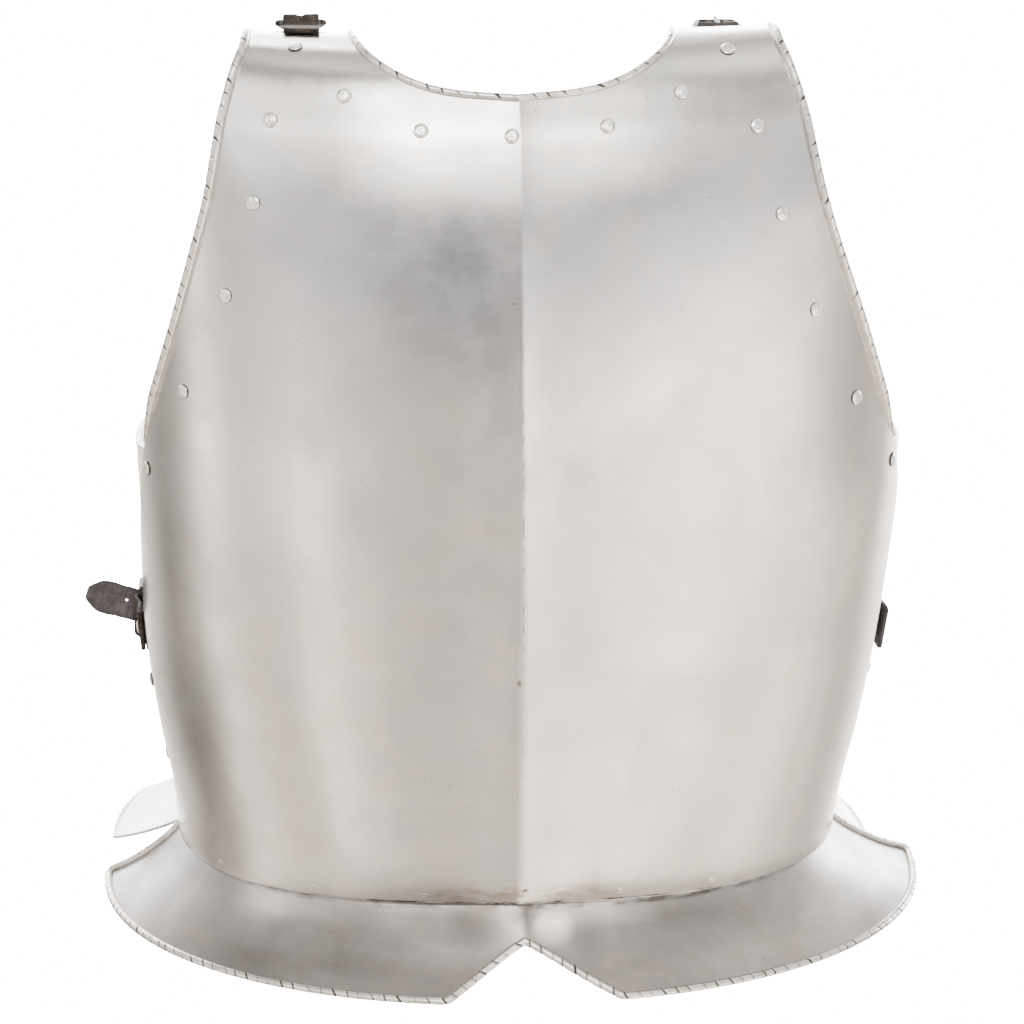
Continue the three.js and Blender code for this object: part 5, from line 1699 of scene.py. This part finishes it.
@dataclass
class Studio:
    """A pale floor and soft, uneven surroundings, with the camera in front."""

    target: tuple[float, float, float] = (0.0008, -0.0966, 0.245)
    azimuth: float = -2.9
    elevation: float = 19.0
    distance: float = 2.6
    lens: float = 182.8
    shift_x: float = -0.0059
    backdrop: float = 40.0
    floor_glow: float = 30.0
    floor_tone: str = "#F4F2EF"
    brightest: float = 24.0
    belts: tuple = (
        LightBelt(-30, (1.12, 1.0, 0.90), (
            (-180, 2.4), (-150, 1.6), (-118, 0.5), (-100, 0.7), (-82, 2.2), (-62, 1.5), (-50, 1.3),
            (-38, 2.8), (-28, 1.9), (-14, 1.25), (-4, 1.0), (3, 2.6), (12, 3.0), (30, 4.2), (48, 2.6),
            (70, 2.8), (95, 1.9), (120, 1.3), (150, 2.4), (180, 2.4))),
        LightBelt(-8, (1.08, 1.0, 0.94), (
            (-180, 6.0), (-140, 1.0), (-120, 0.6), (-98, 0.8), (-84, 4.0), (-64, 1.7), (-50, 2.4),
            (-38, 3.3), (-26, 1.6), (-12, 1.5), (-3, 0.7), (4, 2.5), (14, 4.6), (30, 6.0), (48, 5.0),
            (62, 3.4), (78, 1.6), (95, 0.8), (120, 1.2), (140, 8.0), (180, 14.0))),
        LightBelt(8, (0.97, 1.0, 1.06), (
            (-180, 14.0), (-150, 8.0), (-120, 2.0), (-90, 0.8), (-60, 0.8), (-40, 0.9), (-26, 1.5),
            (-14, 0.6), (-3, 0.4), (8, 1.2), (20, 1.9), (35, 1.6), (50, 1.3), (75, 1.0), (110, 2.0),
            (125, 20.0), (180, 24.0))),
        LightBelt(19, (1.0, 1.0, 1.02), (
            (-180, 14.0), (-150, 8.0), (-130, 4.0), (-90, 2.0), (-55, 4.6), (-40, 1.6), (-26, 0.9),
            (-14, 1.1), (-4, 0.6), (10, 1.0), (20, 0.6), (34, 1.4), (50, 1.9), (80, 1.6), (120, 3.0),
            (140, 5.0), (180, 3.0))),
        LightBelt(28, (1.04, 1.0, 0.97), (
            (-180, 12.0), (-130, 3.0), (-90, 1.2), (-55, 6.0), (-40, 6.0), (-25, 2.6), (-12, 6.0),
            (5, 5.0), (18, 3.0), (30, 2.2), (50, 1.2), (80, 1.8), (120, 3.0), (150, 1.2), (180, 1.6))),
        LightBelt(36, (1.04, 1.0, 0.96), (
            (-180, 12.0), (-130, 2.0), (-80, 1.0), (-52, 1.0), (-40, 3.0), (-25, 4.6), (-10, 20.0),
            (6, 14.0), (18, 6.0), (30, 0.7), (48, 0.6), (70, 1.2), (110, 2.4), (145, 1.0),
            (180, 1.4))),
        LightBelt(47, (1.03, 1.0, 0.97), (
            (-180, 14.0), (-130, 1.0), (-60, 0.8), (-42, 0.3), (-27, 0.4), (-10, 14.0), (5, 6.0),
            (18, 0.6), (30, 0.5), (48, 1.6), (80, 2.2), (115, 2.0), (150, 0.8), (180, 1.2))),
        LightBelt(60, (1.02, 1.0, 0.97), (
            (-180, 0.5), (-90, 1.0), (-60, 0.8), (-30, 0.3), (-10, 0.4), (12, 1.6), (30, 2.0),
            (60, 2.4), (110, 2.0), (150, 1.4), (180, 0.5))),
        LightBelt(74, (1.02, 1.0, 0.97), ((-180, 1.2), (-60, 1.8), (0, 2.0), (60, 2.4), (180, 1.2))),
    )
    key: SoftBox = SoftBox("soft key", (-1.2, -1.6, 2.4), (0, -0.05, 0.25), (1.4, 1.4), 3.0)

    def build_camera(self) -> None:
        """Set up the camera."""
        data = bpy.data.cameras.new("camera")
        data.lens = self.lens
        data.sensor_width = 36.0
        data.shift_x = self.shift_x
        data.clip_start = 0.05
        camera = bpy.data.objects.new("camera", data)
        turn, rise = math.radians(self.azimuth), math.radians(self.elevation)
        flat = math.cos(rise)
        offset = Vector((math.sin(turn) * flat, -math.cos(turn) * flat, math.sin(rise)))
        camera.location = Vector(self.target) + offset * self.distance
        camera.rotation_euler = (-offset).to_track_quat("-Z", "Y").to_euler()
        bpy.context.scene.collection.objects.link(camera)
        bpy.context.scene.camera = camera

    def build_floor(self) -> None:
        """Lay the floor, washed out to near white where the camera sees it."""
        bm = bmesh.new()
        bmesh.ops.create_grid(bm, x_segments=1, y_segments=1, size=6.0)
        floor = make_piece("floor", bm)
        floor.visible_glossy = False
        paint = FloorPaint("matte studio floor", self.floor_tone, self.floor_glow)
        floor.data.materials.append(paint.make())

    def build_world(self) -> None:
        """Fill the surroundings with soft light in belts, and leave the backdrop white."""
        world = bpy.data.worlds.new("soft surroundings")
        world.use_nodes = True
        tree = world.node_tree
        towards = add_node(tree, "TexCoord", out="Generated")
        parts = add_node(tree, "SeparateXYZ", (towards,)).node.outputs
        ahead = add_node(tree, "Math", (parts[1], -1.0), operation="MULTIPLY")
        bearing = add_node(tree, "Math", (parts[0], ahead), operation="ARCTAN2")
        bearing = add_node(tree, "MapRange", (bearing, -math.pi, math.pi, 0, 1))
        rise = add_node(tree, "Math", (parts[2],), operation="ARCSINE")
        light = self.belt_colour(tree, bearing, self.belts[0])
        for low, belt in zip(self.belts, self.belts[1:]):
            light = wash(tree, light, self.belt_colour(tree, bearing, belt), rise,
                         math.radians(low.rise), math.radians(belt.rise))
        seen = add_node(tree, "LightPath", out="Is Camera Ray")
        white = (self.backdrop / self.brightest,) * 3 + (1.0,)
        feed(tree, tree.nodes["Background"],
             {"Color": wash(tree, light, white, seen), "Strength": self.brightest})
        bpy.context.scene.world = world

    def belt_colour(self, tree: Tree, bearing: Socket, belt: LightBelt) -> Socket:
        """The colour of one belt at each bearing."""
        colour = add_node(tree, "ValToRGB", (bearing,))
        colour.node.color_ramp.interpolation = "EASE"
        elements = colour.node.color_ramp.elements
        while len(elements) < len(belt.stops):
            elements.new(0.5)
        for element, (angle, strength) in zip(elements, belt.stops):
            element.position = angle / 360 + 0.5
            element.color = (*[strength * part / self.brightest for part in belt.tint], 1.0)
        return colour

    def build(self) -> None:
        """Set everything up."""
        self.build_camera()
        self.build_floor()
        self.build_world()
        self.key.build()


# ---------------------------------------------------------------- the whole model


def main() -> None:
    """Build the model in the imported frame, camera first."""
    logging.basicConfig(level=logging.INFO, format="%(name)s: %(message)s")
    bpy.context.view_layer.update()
    Studio().build()
    torso = Torso()
    breast = BreastPlate(torso)
    breast.build()
    SkirtPlate(torso).build()
    tabs = {
        Side.LEFT: Flare(
            waist=(-114.0, -91.7), rim=(-112.5, -92.6), rim_z=20.0,
            plan=Plan(left=210, right=210, front=172, side=60, rear=200, power=2.1)),
        Side.RIGHT: Flare(
            waist=(91.7, 114.0), rim=(92.6, 111.0), rim_z=7.0,
            plan=Plan(left=197, right=197, front=172, side=60, rear=240, power=2.1)),
    }
    for side, flare in tabs.items():
        SidePlate(torso, flare, breast, side).build()
    RivetSet(torso, breast).build()
    ShoulderFitting(
        torso, Side.LEFT, across=-104.5, width=18, rivet=(-107.9, 458.8), bar=(12.6, 479.5),
        droop=20, top_rise=478, buckle=BuckleShape(inner=21, reach=19, taper=3.5)).build()
    ShoulderFitting(
        torso, Side.RIGHT, across=104, width=20, rivet=(103.7, 452.6), bar=(14, 472.6),
        droop=1, top_rise=None, buckle=BuckleShape(inner=23, reach=19, taper=4)).build()
    WaistStrap(torso).build()


if __name__ == "__main__":
    main()
